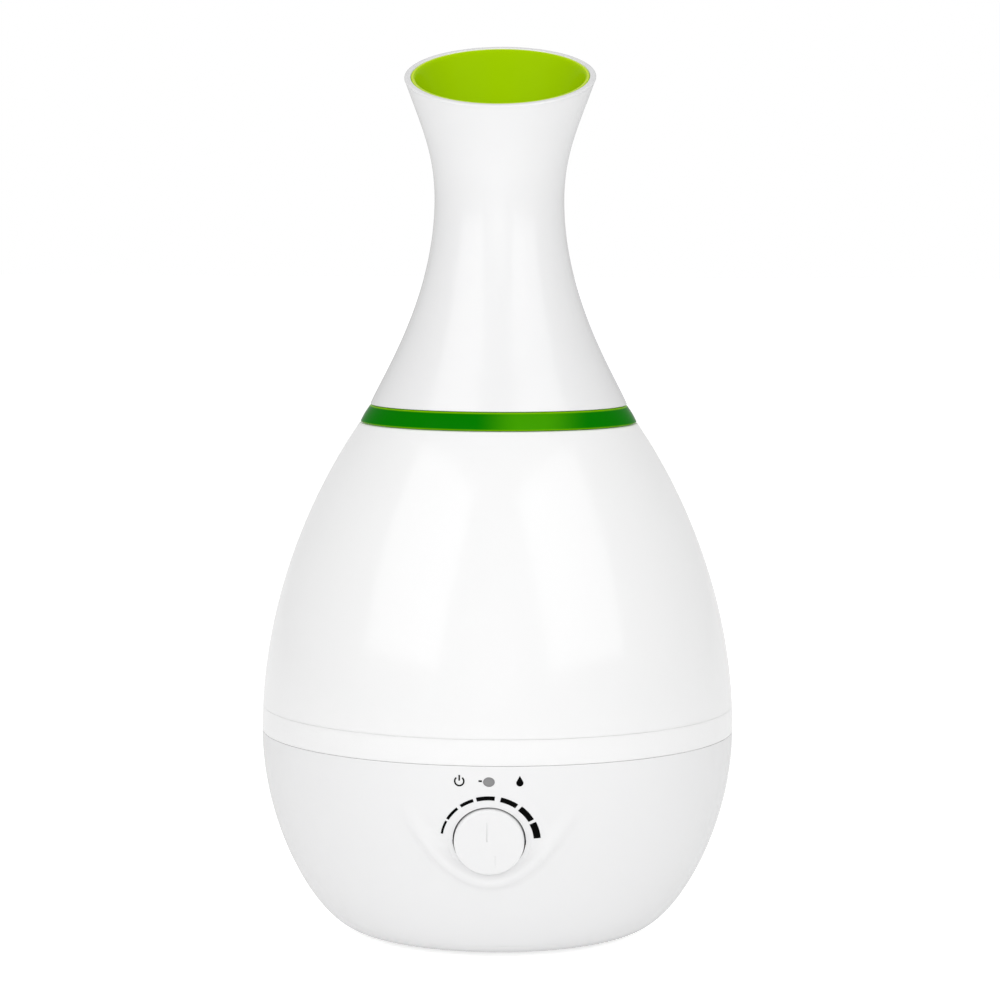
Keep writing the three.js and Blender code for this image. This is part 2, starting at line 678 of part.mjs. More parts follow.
const ductR = PORT_R + 0.6;
piece('air_duct', revolve([
  [ROTOR_R + 0.3, fanTop + GAP], [FAN_SIZE / 2, fanTop + GAP], [FAN_SIZE / 2, fanTop + 4],
  [ductR + 1.8, 44], [ductR + 1.8, TRAY_FLOOR_Z - GAP], [ductR, TRAY_FLOOR_Z - GAP],
  [ductR, 44.5], [ROTOR_R + 0.3, fanTop + 4.5]]), innerWhite(), fan);

// ---------------------------------------------------------------- low-water float

const float = new THREE.Group();
float.position.set(floatX, 0, 0);
humidifier.add(float);

const POST_FLANGE_TOP = trayFloorTop + GAP + 1.5;
const floatLow = POST_FLANGE_TOP + SLIP;
const FLOAT_HEIGHT = 9;
const floatStop = floatLow + FLOAT_HEIGHT + FLOAT_RISE + SLIP;
const STEM_R = 3;

piece('float_post', revolve([
  [0, trayFloorTop + GAP], [5.5, trayFloorTop + GAP], [5.5, POST_FLANGE_TOP],
  [STEM_R, POST_FLANGE_TOP], [STEM_R, floatStop + 2.4], [0, floatStop + 2.8]]), innerWhite(), float);
piece('float_ring', revolve([
  [STEM_R + SLIP, floatLow], [4.3, floatLow], [4.3, floatLow + 2.5], [6.9, floatLow + 2.5],
  [6.9, floatLow], [FLOAT_R - 0.8, floatLow], [FLOAT_R, floatLow + 0.8],
  [FLOAT_R, floatLow + FLOAT_HEIGHT - 0.8], [FLOAT_R - 0.8, floatLow + FLOAT_HEIGHT],
  [STEM_R + SLIP, floatLow + FLOAT_HEIGHT]]), milkyTank(), float);
piece('float_magnet', ring(4.6, 6.6, floatLow + 0.2, floatLow + 2.2), steel(), float);
piece('float_retainer', ring(STEM_R + GAP, 6, floatStop, floatStop + 1.6), silicone(), float);

// ---------------------------------------------------------------- tank

const tankFootZ = trayRimTop + GAP;
const tankFloorZ = tankFootZ + 1.9;
const tankFloorTop = tankFloorZ + 2.4;
const THREAD_R = CAP_R - 2.7;
const COLLAR_BORE_R = THREAD_R - 2.8;    // filling hole in the tank's floor
const COLLAR_LOW = 86;
const SKIRT_LOW = 78;                    // mist inlet under the tank
const mistBore = MIST_R - MIST_WALL;
const DECK_THICKNESS = 2.4;
const deckLow = TANK_TOP - GAP - DECK_THICKNESS;
const deckTop = TANK_TOP - GAP;
const UPSTAND_R = 50;                    // ring on the tank that locates the collar
const UPSTAND_WALL = 2;
const upstandTop = COLLAR_TOP - 1.7;

function tankBottom() {
  const wallIn = radiusAt(tankInside, BAND_TOP);
  const spigotR = wallIn - GAP;
  const dish = revolve([
    [0, tankFloorZ],
    [ledgeR - 1, tankFloorZ],
    [ledgeR - 1, tankFootZ],
    [ledgeR + 3, tankFootZ],
    [ledgeR + 3, tankFloorZ],
    [radiusAt(tankInside, TANK_Z), tankFloorZ],
    [radiusAt(tankInside, TANK_Z), TANK_Z],
    ...stretch(tankOutline, TANK_Z, BAND_TOP),
    [spigotR, BAND_TOP],
    [radiusAt(tankInside, BAND_TOP + 4) - GAP, BAND_TOP + 4],
    [radiusAt(tankInside, BAND_TOP + 4) - 1.8, BAND_TOP + 4],
    [spigotR - 2.2, tankFloorTop],
    [0, tankFloorTop],
  ], BIG_SEGMENTS);
  const collar = disc(THREAD_R, COLLAR_LOW, tankFloorTop, MID_SEGMENTS).translate(capX, 0, 0);
  const filling = disc(COLLAR_BORE_R, COLLAR_LOW - 1, tankFloorTop + 1, MID_SEGMENTS)
    .translate(capX, 0, 0);
  const skirt = disc(MIST_R, SKIRT_LOW, tankFloorTop, MID_SEGMENTS);
  const socket = disc(MIST_R + 2.6, tankFloorTop - 0.5, tankFloorTop + 5, MID_SEGMENTS);
  const mistHole = disc(mistBore, SKIRT_LOW - 1, tankFloorTop + 6, MID_SEGMENTS);
  const tubeSeat = disc(MIST_R + SLIP, tankFloorTop, tankFloorTop + 6, MID_SEGMENTS);
  return cut(join(dish, collar, skirt, socket), filling, mistHole, tubeSeat);
}

piece('tank_bottom', tankBottom(), milkyTank());

piece('tank_shell', revolve([
  ...stretch(tankOutline, BAND_TOP + GAP, deckTop),
  [UPSTAND_R, deckTop],
  [UPSTAND_R, upstandTop],
  [UPSTAND_R - UPSTAND_WALL, upstandTop],
  [UPSTAND_R - UPSTAND_WALL, deckTop],
  [MIST_R + SLIP, deckTop],
  [MIST_R + SLIP, deckLow],
  [radiusAt(tankInside, deckLow), deckLow],
  ...stretch(tankInside, BAND_TOP + GAP, deckLow).reverse().slice(1),
], BIG_SEGMENTS), milkyTank());

const tubeTop = deckTop + 3;
piece('mist_tube', ring(
  mistBore + 0.1, MIST_R, tankFloorTop + GAP, tubeTop, MID_SEGMENTS), milkyTank());
piece('tube_seal', revolve([
  [MIST_R + GAP, deckTop + GAP], [MIST_R + 3, deckTop + GAP], [MIST_R + 3, deckTop + 1.3],
  [MIST_R + 1.6, deckTop + 2.2], [MIST_R + GAP, deckTop + 2.2]], MID_SEGMENTS), silicone());

// ---------------------------------------------------------------- tank cap and valve

const cap = new THREE.Group();
cap.position.set(capX, 0, 0);
humidifier.add(cap);

const CAP_LOW = 82;
const CAP_FLOOR = 2.5;
const capFloorTop = CAP_LOW + CAP_FLOOR;
const capTop = tankFloorZ - GAP;
const GUIDE_R = COLLAR_BORE_R - 3;
const GUIDE_WALL = 2;
const PLUNGER_R = GUIDE_R - 3.5;
const DRAIN_R = PLUNGER_R - 2;
const PLUNGER_STEM_R = 1.9;
const BRIDGE_Z = 101;
const plungerLow = PIN_TOP + GAP;
const sealSeat = capFloorTop + GAP + VALVE_STROKE;
const PLUNGER_SEAL = 1.2;
const headLow = sealSeat + PLUNGER_SEAL + GAP;
const headTop = headLow + 1.8;

function tankCap() {
  const points = [];
  const ribs = 14;
  for (let i = 0; i < 2 * ribs; i += 1) {
    const radius = i % 2 ? CAP_R : CAP_R - 0.9;
    const angle = i * Math.PI / ribs;
    points.push(new THREE.Vector2(radius * Math.cos(angle), radius * Math.sin(angle)));
  }
  const body = new THREE.ExtrudeGeometry(new THREE.Shape(points), {
    depth: capTop - CAP_LOW, bevelEnabled: false,
  }).translate(0, 0, CAP_LOW);
  const threadBore = disc(THREAD_R + GAP, capFloorTop, capTop + 1, MID_SEGMENTS);
  const guide = disc(GUIDE_R, capFloorTop - 0.5, BRIDGE_Z + 2);
  const guideBore = disc(GUIDE_R - GUIDE_WALL, capFloorTop - 1, BRIDGE_Z);
  const drain = disc(DRAIN_R, CAP_LOW - 1, capFloorTop + 1);
  const stemBore = disc(PLUNGER_STEM_R + GAP, BRIDGE_Z - 1, BRIDGE_Z + 3, POST_SEGMENTS);
  const windows = [0, 60, 120].map((angle) => block(40, 7, capFloorTop, BRIDGE_Z - 1)
    .rotateZ(radians(angle)));
  const tower = cut(guide, guideBore, ...windows);
  return cut(join(cut(body, threadBore), tower), drain, stemBore);
}

piece('tank_cap', tankCap(), innerWhite(), cap);
piece('cap_gasket', ring(
  COLLAR_BORE_R + GAP, THREAD_R - 0.2, capFloorTop + GAP, COLLAR_LOW - GAP, MID_SEGMENTS), silicone(), cap);

piece('valve_plunger', revolve([
  [0, plungerLow], [PLUNGER_STEM_R, plungerLow], [PLUNGER_STEM_R, sealSeat - 1.2],
  [DRAIN_R - 1, sealSeat - 1.2], [DRAIN_R - 1, headLow], [PLUNGER_R, headLow],
  [PLUNGER_R, headTop], [PLUNGER_STEM_R, headTop], [PLUNGER_STEM_R, BRIDGE_Z + 4.6],
  [0, BRIDGE_Z + 5]]), innerWhite(), cap);
piece('valve_seal', ring(
  DRAIN_R - 1 + GAP, PLUNGER_R, sealSeat, headLow - GAP), silicone(), cap);

// Compression spring between the plunger's head and the bridge: one swept wire.
function valveSpring() {
  const [turns, wire, coilR, steps] = [3, 0.45, 4, 8];
  const low = headTop + GAP + wire;
  const high = BRIDGE_Z - GAP - wire;
  const points = [];
  for (let i = 0; i <= turns * steps; i += 1) {
    const angle = i * 2 * Math.PI / steps;
    points.push(new THREE.Vector3(
      coilR * Math.cos(angle), coilR * Math.sin(angle), low + (high - low) * i / (turns * steps)));
  }
  const path = new THREE.CatmullRomCurve3(points);
  const section = new THREE.Shape(around(wire, [0, 90, 180, 270])
    .map(([x, y]) => new THREE.Vector2(x, y)));
  return new THREE.ExtrudeGeometry(section, {
    extrudePath: path, steps: turns * steps, bevelEnabled: false,
  });
}

piece('valve_spring', valveSpring(), steel(), cap);

// ---------------------------------------------------------------- collar, neck and liner

const neckLow = COLLAR_TOP + GAP;
const SPIGOT_RISE = 3;                   // lip on the collar that centres the neck
const SPIGOT_WALL = 2;
const spigotOut = radiusAt(neckInside, COLLAR_TOP + SPIGOT_RISE) - SLIP;

piece('collar_ring', revolve([
  [UPSTAND_R + SLIP, COLLAR_Z], [TANK_TOP_R, COLLAR_Z],
  [(TANK_TOP_R + NECK_FOOT_R) / 2 + 0.3, (COLLAR_Z + COLLAR_TOP) / 2],
  [NECK_FOOT_R, COLLAR_TOP], [spigotOut, COLLAR_TOP],
  [spigotOut, COLLAR_TOP + SPIGOT_RISE], [spigotOut - SPIGOT_WALL, COLLAR_TOP + SPIGOT_RISE],
  [spigotOut - SPIGOT_WALL, COLLAR_TOP], [UPSTAND_R + SLIP, COLLAR_TOP]],
BIG_SEGMENTS), greenClear());

// Everything above the mouth's slanted plane.
function aboveMouth(drop) {
  return block(300, 300, 0, 120)
    .rotateX(radians(MOUTH_TILT))
    .translate(0, 0, MOUTH_Z - drop);
}

function neckShell() {
  const body = revolve([
    ...stretch(neckOutline, neckLow, FLARE_Z),
    ...stretch(neckInside, neckLow, FLARE_Z - 2).reverse(),
  ], BIG_SEGMENTS);
  return cut(body, aboveMouth(0));
}

const LINER_LOW = COLLAR_TOP + 16.3;
const LINER_STEP = 0.7;                  // liner's edge below the neck's rim

function neckLiner() {
  const body = revolve([
    ...stretch(linerOutside, LINER_LOW, FLARE_Z - 3),
    ...stretch(linerInside, LINER_LOW, FLARE_Z - 3).reverse(),
  ], BIG_SEGMENTS);
  return cut(body, aboveMouth(LINER_STEP));
}

piece('neck_shell', neckShell(), whiteCasing());
piece('neck_liner', neckLiner(), limeClear());

export default humidifier;
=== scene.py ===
import math

import bpy
from mathutils import Matrix, Vector


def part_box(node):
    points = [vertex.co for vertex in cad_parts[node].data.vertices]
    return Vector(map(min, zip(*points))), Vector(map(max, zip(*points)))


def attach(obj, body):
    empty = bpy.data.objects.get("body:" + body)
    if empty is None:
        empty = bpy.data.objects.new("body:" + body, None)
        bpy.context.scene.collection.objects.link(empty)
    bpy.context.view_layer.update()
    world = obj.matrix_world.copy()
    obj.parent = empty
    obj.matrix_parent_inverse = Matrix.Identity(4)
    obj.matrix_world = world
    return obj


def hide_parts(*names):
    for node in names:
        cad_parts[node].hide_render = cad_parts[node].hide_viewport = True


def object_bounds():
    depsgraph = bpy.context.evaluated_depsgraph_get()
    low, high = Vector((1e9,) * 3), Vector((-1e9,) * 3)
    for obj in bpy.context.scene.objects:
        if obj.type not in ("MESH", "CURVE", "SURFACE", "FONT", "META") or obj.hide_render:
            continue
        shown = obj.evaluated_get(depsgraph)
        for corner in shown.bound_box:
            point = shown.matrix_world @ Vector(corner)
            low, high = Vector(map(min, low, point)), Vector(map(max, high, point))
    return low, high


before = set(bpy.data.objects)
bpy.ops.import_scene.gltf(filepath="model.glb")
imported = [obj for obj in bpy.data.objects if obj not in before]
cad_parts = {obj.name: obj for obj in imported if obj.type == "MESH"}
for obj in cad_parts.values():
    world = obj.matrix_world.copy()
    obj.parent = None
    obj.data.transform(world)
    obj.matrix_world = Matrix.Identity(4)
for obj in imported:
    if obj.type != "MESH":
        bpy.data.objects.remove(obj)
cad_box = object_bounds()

# Cool mist humidifier: looks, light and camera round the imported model.
# Lengths are millimetres until a mesh is made, and metres after that. The front is -Y.

MM = 0.001
POLE = 0.002                     # a ring this small is closed to a point
BASE_SEGMENTS = 224              # round the base casing, crowded towards the front
WALL_SEGMENTS = 192              # round the tank's wall, the collar, the neck and the liner
TRAY_SEGMENTS = 160              # round the tray and the tank's band
KNOB_SEGMENTS = 128              # round the knob, its well and the bottom cover
SMALL_SEGMENTS = 48              # round the small pieces


def span(node):
    """A node's lowest and highest corner at rest, in millimetres."""
    low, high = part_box(node)
    return Vector(low) / MM, Vector(high) / MM


# ------------------------------------------------------------------ sizes taken from the frame

BASE_Z = span("base_shell")[0].z
SEAM_Z = span("base_shell")[1].z
BODY_R = span("base_shell")[1].x
SEAM_GAP = 0.6
TANK_Z = SEAM_Z + SEAM_GAP
GAP = 0.3
BAND_TOP = span("tank_shell")[0].z - GAP
TANK_TOP = span("collar_ring")[0].z
TANK_TOP_R = span("collar_ring")[1].x
NECK_Z = span("neck_shell")[0].z
COLLAR_TOP = NECK_Z - GAP
NECK_FOOT_R = TANK_TOP_R - 4.5
WAIST_R = 30
WAIST_Z = COLLAR_TOP + 94.8
FLARE_R = 50.1
FLARE_Z = WAIST_Z + 73.2
MOUTH_Z = WAIST_Z + 55.6
MOUTH_TILT = math.radians(18.8)
COVER_R = span("bottom_cover")[1].x

KNOB_Z = 60.1
KNOB_TILT = math.radians(12.5)
KNOB_LIFT = 0.2                  # the knob's own zero over the casing
KNOB_R = 15.5
WELL_R = 16.1
WELL_DEPTH = 7
INDICATOR_Z = 87.4
LAMP_R = 2.5                     # the indicator before it is pressed oval
LAMP_WIDTH, LAMP_HEIGHT = 5, 4.2
INLET_Z = 34
CAP_X = sum(v.x for v in span("tank_cap")) / 2
FLOAT_X = sum(v.x for v in span("float_ring")) / 2
FAN_Y = sum(v.y for v in span("fan_housing")) / 2


# ------------------------------------------------------------------ outlines

def curve(start, leave, arrive, end, steps):
    """Points of [radius, height] along a cubic curve given by its ends and two handles."""
    points = []
    for i in range(steps + 1):
        t = i / steps
        weights = ((1 - t) ** 3, 3 * t * (1 - t) ** 2, 3 * t * t * (1 - t), t ** 3)
        places = (start, leave, arrive, end)
        points.append(tuple(sum(w * p[k] for w, p in zip(weights, places)) for k in (0, 1)))
    return points


def inset(outline, wall):
    """The same outline moved inwards by a wall's thickness."""
    moved = []
    for i, (r, z) in enumerate(outline):
        before, after = outline[max(i - 1, 0)], outline[min(i + 1, len(outline) - 1)]
        dr, dz = after[0] - before[0], after[1] - before[1]
        length = math.hypot(dr, dz)
        moved.append((r - wall * dz / length, z + wall * dr / length))
    return moved


def radius_at(outline, height):
    """The outline's radius at a height, going on in a straight line past its ends."""
    k = next((i for i in range(1, len(outline)) if outline[i][1] >= height), len(outline) - 1)
    (r0, z0), (r1, z1) = outline[k - 1], outline[k]
    return r0 + (r1 - r0) * (height - z0) / (z1 - z0)


def stretch(outline, low, high):
    """The part of an outline between two heights, from low to high."""
    inside = [p for p in outline if low + 0.02 < p[1] < high - 0.02]
    return [(radius_at(outline, low), low), *inside, (radius_at(outline, high), high)]


def rounded(outline, radius, closed=True, steps=4, sharp=math.radians(28)):
    """The same outline with each sharp corner turned into a small arc."""
    made = []
    count = len(outline)
    for i, point in enumerate(outline):
        here = Vector(point)
        if not closed and i in (0, count - 1):
            made.append(point)
            continue
        back = Vector(outline[i - 1]) - here
        on = Vector(outline[(i + 1) % count]) - here
        turn = math.pi - back.angle(on)
        if turn < sharp:
            made.append(point)
            continue
        reach = min(radius * math.tan(turn / 2), 0.45 * back.length, 0.45 * on.length)
        start, end = here + back.normalized() * reach, here + on.normalized() * reach
        for k in range(steps + 1):
            t = k / steps
            spot = start.lerp(here, t).lerp(here.lerp(end, t), t)
            made.append((spot.x, spot.y))
    return made


BASE = curve((66, BASE_Z), (83, BASE_Z), (BODY_R, SEAM_Z - 47), (BODY_R, SEAM_Z), 110)
TANK = curve((BODY_R, SEAM_Z), (BODY_R, SEAM_Z + 59),
             (TANK_TOP_R + 23, TANK_TOP - 33), (TANK_TOP_R, TANK_TOP), 72)
NECK = curve((NECK_FOOT_R, COLLAR_TOP), (NECK_FOOT_R - 5, COLLAR_TOP + 12.3),
             (WAIST_R, WAIST_Z - 45.6), (WAIST_R, WAIST_Z), 40)
NECK += curve((WAIST_R, WAIST_Z), (WAIST_R, WAIST_Z + 26.4),
              (FLARE_R - 10.5, FLARE_Z - 34.5), (FLARE_R, FLARE_Z), 36)[1:]

BASE_WALL = 2.8
TANK_WALL = 2.4
NECK_WALL = 3
LINER_WALL = 1.6
BASE_INSIDE = inset(BASE, BASE_WALL)[::6]
TANK_INSIDE = inset(TANK, TANK_WALL)[::4]


# ------------------------------------------------------------------ modelling by hand

def deselect():
    bpy.ops.object.select_all(action="DESELECT")


def pick(piece):
    deselect()
    piece.select_set(True)
    bpy.context.view_layer.objects.active = piece


def named(name):
    piece = bpy.context.object
    piece.name = piece.data.name = name
    return piece


def turned(name, profile, segments=SMALL_SEGMENTS, closed=True):
    """A ring, extruded and resized from point to point of a profile.

    A closed profile ends where it began; an open one runs from the axis to the axis.
    """
    points = [(max(r, POLE), z) for r, z in profile]
    if closed:
        points.append(points[0])
    deselect()
    bpy.ops.mesh.primitive_circle_add(vertices=segments, radius=points[0][0] * MM)
    piece = named(name)
    bpy.ops.object.mode_set(mode="EDIT")
    bpy.ops.mesh.select_all(action="SELECT")
    bpy.ops.transform.translate(value=(0, 0, points[0][1] * MM))
    for (r0, z0), (r1, z1) in zip(points, points[1:]):
        bpy.ops.mesh.extrude_region_move(
            TRANSFORM_OT_translate={"value": (0, 0, (z1 - z0) * MM)})
        bpy.ops.transform.resize(value=(r1 / r0, r1 / r0, 1), center_override=(0, 0, z1 * MM))
    bpy.ops.mesh.select_all(action="SELECT")
    bpy.ops.mesh.remove_doubles(threshold=0.006 * MM)
    bpy.ops.mesh.normals_make_consistent(inside=False)
    bpy.ops.object.mode_set(mode="OBJECT")
    return piece


def block(name, size, centre):
    """A box with lightly rounded edges."""
    deselect()
    bpy.ops.mesh.primitive_cube_add(size=1)
    piece = named(name)
    piece.scale = Vector(size) * MM
    piece.location = Vector(centre) * MM
    bpy.ops.object.transform_apply()
    bpy.ops.object.mode_set(mode="EDIT")
    bpy.ops.mesh.select_all(action="SELECT")
    bpy.ops.mesh.bevel(offset=min(size) * 0.12 * MM, segments=2, affect="EDGES")
    bpy.ops.object.mode_set(mode="OBJECT")
    return piece


def placed(piece, location=(0, 0, 0), turn=(0, 0, 0)):
    """Turns and moves a piece, and puts the change in its mesh."""
    pick(piece)
    piece.rotation_euler = turn
    piece.location = Vector(location) * MM
    bpy.ops.object.transform_apply()
    return piece


def combine(piece, others, operation):
    for other in others:
        pick(piece)
        step = piece.modifiers.new(operation.lower(), "BOOLEAN")
        step.operation = operation
        step.solver = "EXACT"
        step.object = other
        bpy.ops.object.modifier_apply(modifier=step.name)
        bpy.data.objects.remove(other)
    return piece


def cut(piece, *tools):
    return combine(piece, tools, "DIFFERENCE")


def fuse(piece, *others):
    return combine(piece, others, "UNION")


def copy_of(piece, name):
    pick(piece)
    bpy.ops.object.duplicate()
    return named(name)


def finish(piece, body, nodes, material, angle=35):
    """Shades a piece, gives it its material, and says what it rides on and stands for."""
    pick(piece)
    bpy.ops.object.shade_smooth_by_angle(angle=math.radians(angle))
    piece.data.materials.clear()
    piece.data.materials.append(material)
    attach(piece, body)
    if nodes:
        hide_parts(*nodes)
    return piece


# ------------------------------------------------------------------ shader groups

def link(tree, source, target):
    tree.links.new(source, target)


def surface_group():
    """Moulded surface: faint cloudiness in colour and gloss, and the ripple of the mould's skin."""
    group = bpy.data.node_groups.new("moulded_surface", "ShaderNodeTree")
    face = group.interface
    for name, kind, value in (
        ("Colour", "NodeSocketColor", (0.8, 0.8, 0.8, 1)),
        ("Shade", "NodeSocketColor", (0.7, 0.7, 0.7, 1)),
        ("Patch Scale", "NodeSocketFloat", 18.0),
        ("Grain Scale", "NodeSocketFloat", 900.0),
        ("Gloss Low", "NodeSocketFloat", 0.2),
        ("Gloss High", "NodeSocketFloat", 0.3),
        ("Ripple", "NodeSocketFloat", 0.05),
    ):
        socket = face.new_socket(name=name, in_out="INPUT", socket_type=kind)
        socket.default_value = value
    for name, kind in (
        ("Colour", "NodeSocketColor"),
        ("Roughness", "NodeSocketFloat"),
        ("Normal", "NodeSocketVector"),
    ):
        face.new_socket(name=name, in_out="OUTPUT", socket_type=kind)
    nodes = group.nodes
    given, result = nodes.new("NodeGroupInput"), nodes.new("NodeGroupOutput")
    place = nodes.new("ShaderNodeTexCoord")
    patches = nodes.new("ShaderNodeTexNoise")
    patches.inputs["Detail"].default_value = 3
    grain = nodes.new("ShaderNodeTexNoise")
    grain.inputs["Detail"].default_value = 2
    for noise, scale in ((patches, "Patch Scale"), (grain, "Grain Scale")):
        link(group, place.outputs["Object"], noise.inputs["Vector"])
        link(group, given.outputs[scale], noise.inputs["Scale"])
    mix = nodes.new("ShaderNodeMix")
    mix.data_type = "RGBA"
    link(group, patches.outputs["Fac"], mix.inputs["Factor"])
    link(group, given.outputs["Colour"], mix.inputs["A"])
    link(group, given.outputs["Shade"], mix.inputs["B"])
    gloss = nodes.new("ShaderNodeMapRange")
    link(group, patches.outputs["Fac"], gloss.inputs["Value"])
    gloss.inputs["From Min"].default_value = 0.3
    gloss.inputs["From Max"].default_value = 0.7
    link(group, given.outputs["Gloss Low"], gloss.inputs["To Min"])
    link(group, given.outputs["Gloss High"], gloss.inputs["To Max"])
    bump = nodes.new("ShaderNodeBump")
    bump.inputs["Distance"].default_value = 0.05 * MM
    link(group, given.outputs["Ripple"], bump.inputs["Strength"])
    link(group, grain.outputs["Fac"], bump.inputs["Height"])
    link(group, mix.outputs["Result"], result.inputs["Colour"])
    link(group, gloss.outputs["Result"], result.inputs["Roughness"])
    link(group, bump.outputs["Normal"], result.inputs["Normal"])
    return group


SURFACE = surface_group()


def principled(name):
    material = bpy.data.materials.new(name)
    material.use_nodes = True
    return material, material.node_tree, material.node_tree.nodes["Principled BSDF"]


def moulded(name, colour, shade, gloss=(0.2, 0.3), ripple=0.05, patch=18.0, grain=900.0, **sockets):
    """A material on the moulded surface group; further sockets are set on the shader itself."""
    material, tree, shader = principled(name)
    group = tree.nodes.new("ShaderNodeGroup")
    group.node_tree = SURFACE
    group.inputs["Colour"].default_value = (*colour, 1)
    group.inputs["Shade"].default_value = (*shade, 1)
    group.inputs["Gloss Low"].default_value = gloss[0]
    group.inputs["Gloss High"].default_value = gloss[1]
    group.inputs["Ripple"].default_value = ripple
    group.inputs["Patch Scale"].default_value = patch
    group.inputs["Grain Scale"].default_value = grain
    link(tree, group.outputs["Colour"], shader.inputs["Base Color"])
    link(tree, group.outputs["Roughness"], shader.inputs["Roughness"])
    link(tree, group.outputs["Normal"], shader.inputs["Normal"])
    for socket, value in sockets.items():
        shader.inputs[socket.replace("_", " ")].default_value = value
    return material


def distance_from(tree, value, middle):
    """How far a value is from a middle one."""
    away = tree.nodes.new("ShaderNodeMath")
    away.operation = "SUBTRACT"
    away.inputs[1].default_value = middle
    size = tree.nodes.new("ShaderNodeMath")
    size.operation = "ABSOLUTE"
    link(tree, value, away.inputs[0])
    link(tree, away.outputs["Value"], size.inputs[0])
    return size.outputs["Value"]


def tinted(tree, colour, tint, value, none, full, most=1.0):
    """A colour that turns into a tint as a value goes from none to full."""
    ramp = tree.nodes.new("ShaderNodeMapRange")
    ramp.interpolation_type = "SMOOTHSTEP"
    ramp.inputs["From Min"].default_value = none
    ramp.inputs["From Max"].default_value = full
    ramp.inputs["To Max"].default_value = most
    mix = tree.nodes.new("ShaderNodeMix")
    mix.data_type = "RGBA"
    mix.inputs["B"].default_value = (*tint, 1)
    link(tree, value, ramp.inputs["Value"])
    link(tree, ramp.outputs["Result"], mix.inputs["Factor"])
    link(tree, colour, mix.inputs["A"])
    return mix.outputs["Result"]


PAINTED_LIGHT_X = 17                     # middle of the ring's lighter patch, painted light that would come through the green
PAINTED_LIGHT_END, PAINTED_LIGHT_CORE = 26, 5    # how far the painted light fades out, and how far it is full
PAINTED_LIGHT_SHARE = 0.65               # how much of the painted lighter green it takes at most
PAINTED_EDGE_HEIGHT = 0.9                   # height of the painted highlight lines along the ring's edges


def clear_green(name, deep, painted_through_light, painted_edge_highlight, low, high):
    """Clear green plastic: deep, with painted light where light would come through, and painted
    highlights along its edges.
    """
    material = moulded(name, deep, (0.004, 0.2, 0.0003), (0.06, 0.12), 0.03, patch=11.0,
                       IOR=1.1, Specular_IOR_Level=0.15)
    tree = material.node_tree
    shader = tree.nodes["Principled BSDF"]
    group = next(n for n in tree.nodes if n.type == "GROUP")
    place = tree.nodes.new("ShaderNodeTexCoord")
    split = tree.nodes.new("ShaderNodeSeparateXYZ")
    link(tree, place.outputs["Object"], split.inputs["Vector"])
    # painted light: a lighter green in a band round x = PAINTED_LIGHT_X, standing in for light
    # coming through the ring
    across = distance_from(tree, split.outputs["X"], PAINTED_LIGHT_X * MM)
    colour = tinted(tree, group.outputs["Colour"], painted_through_light, across, PAINTED_LIGHT_END * MM,
                    PAINTED_LIGHT_CORE * MM, PAINTED_LIGHT_SHARE)
    # painted highlight: lighter lines along the ring's top and bottom edges
    up = distance_from(tree, split.outputs["Z"], (low + high) / 2 * MM)
    half = (high - low) / 2
    colour = tinted(tree, colour, painted_edge_highlight, up, (half - PAINTED_EDGE_HEIGHT) * MM, (half - 0.1) * MM)
    link(tree, colour, shader.inputs["Base Color"])
    return material


WHITE = moulded("white_casing", (0.85, 0.85, 0.853), (0.83, 0.83, 0.834), (0.16, 0.24), 0.04,
                Coat_Weight=0.25, Coat_Roughness=0.06)
MILKY = moulded("milky_tank", (0.895, 0.895, 0.895), (0.88, 0.88, 0.88), (0.12, 0.18), 0.03,
                patch=9.0, Subsurface_Weight=0.3, Subsurface_Scale=0.0015,
                Subsurface_Radius=(1, 1, 1), Specular_IOR_Level=0.4, Coat_Weight=0.3,
                Coat_Roughness=0.05, Sheen_Weight=1.0, Sheen_Roughness=0.5)
INNER = moulded("inner_white", (0.80, 0.805, 0.80), (0.74, 0.745, 0.74), (0.4, 0.5), 0.2,
                grain=1400.0)
LIME = moulded("lime_liner", (0.42, 0.665, 0.0002), (0.34, 0.58, 0.0001), (0.12, 0.2), 0.03,
               patch=14.0, IOR=1.12, Specular_IOR_Level=0.15)
# painted highlight: a lighter lime that the liner gives to its rim's upward faces
LIME_PAINTED_HIGHLIGHT = moulded("lime_painted_highlight", (0.62, 0.80, 0.004), (0.56, 0.75, 0.002), (0.12, 0.2), 0.03,
                    patch=14.0, IOR=1.2)
# after the deep green come the painted light coming through the ring and the painted highlight
# along its edges
GREEN = clear_green("green_collar", (0.0, 0.17, 0.0003), (0.075, 0.38, 0.001),
                    (0.22, 0.52, 0.001), TANK_TOP, COLLAR_TOP)
GREY = moulded("smoke_lens", (0.27, 0.27, 0.272), (0.22, 0.22, 0.222), (0.08, 0.14), 0.02,
               Coat_Weight=0.4)
BLACK = moulded("black_plastic", (0.022, 0.022, 0.024), (0.03, 0.03, 0.032), (0.4, 0.55), 0.3)
# painted shade: near-black lining for the knob's well, standing in for the shadow in the gap round
# the knob
PAINTED_WELL_SHADE = moulded("well_painted_shadow", (0.035, 0.035, 0.036), (0.05, 0.05, 0.051), (0.5, 0.6), 0.1)
INK = moulded("black_print", (0.0006, 0.0006, 0.0006), (0.0012, 0.0012, 0.0012),
              (0.35, 0.5), 0.05, patch=300.0, Specular_IOR_Level=0.04)
RUBBER = moulded("foot_rubber", (0.05, 0.05, 0.053), (0.075, 0.075, 0.078), (0.7, 0.85), 0.5,
                 patch=120.0)
SILICONE = moulded("silicone", (0.72, 0.70, 0.65), (0.66, 0.64, 0.59), (0.5, 0.65), 0.2,
                   patch=80.0)
STEEL = moulded("zinc_steel", (0.60, 0.61, 0.63), (0.48, 0.49, 0.52), (0.25, 0.42), 0.3,
                patch=150.0, Metallic=1.0)
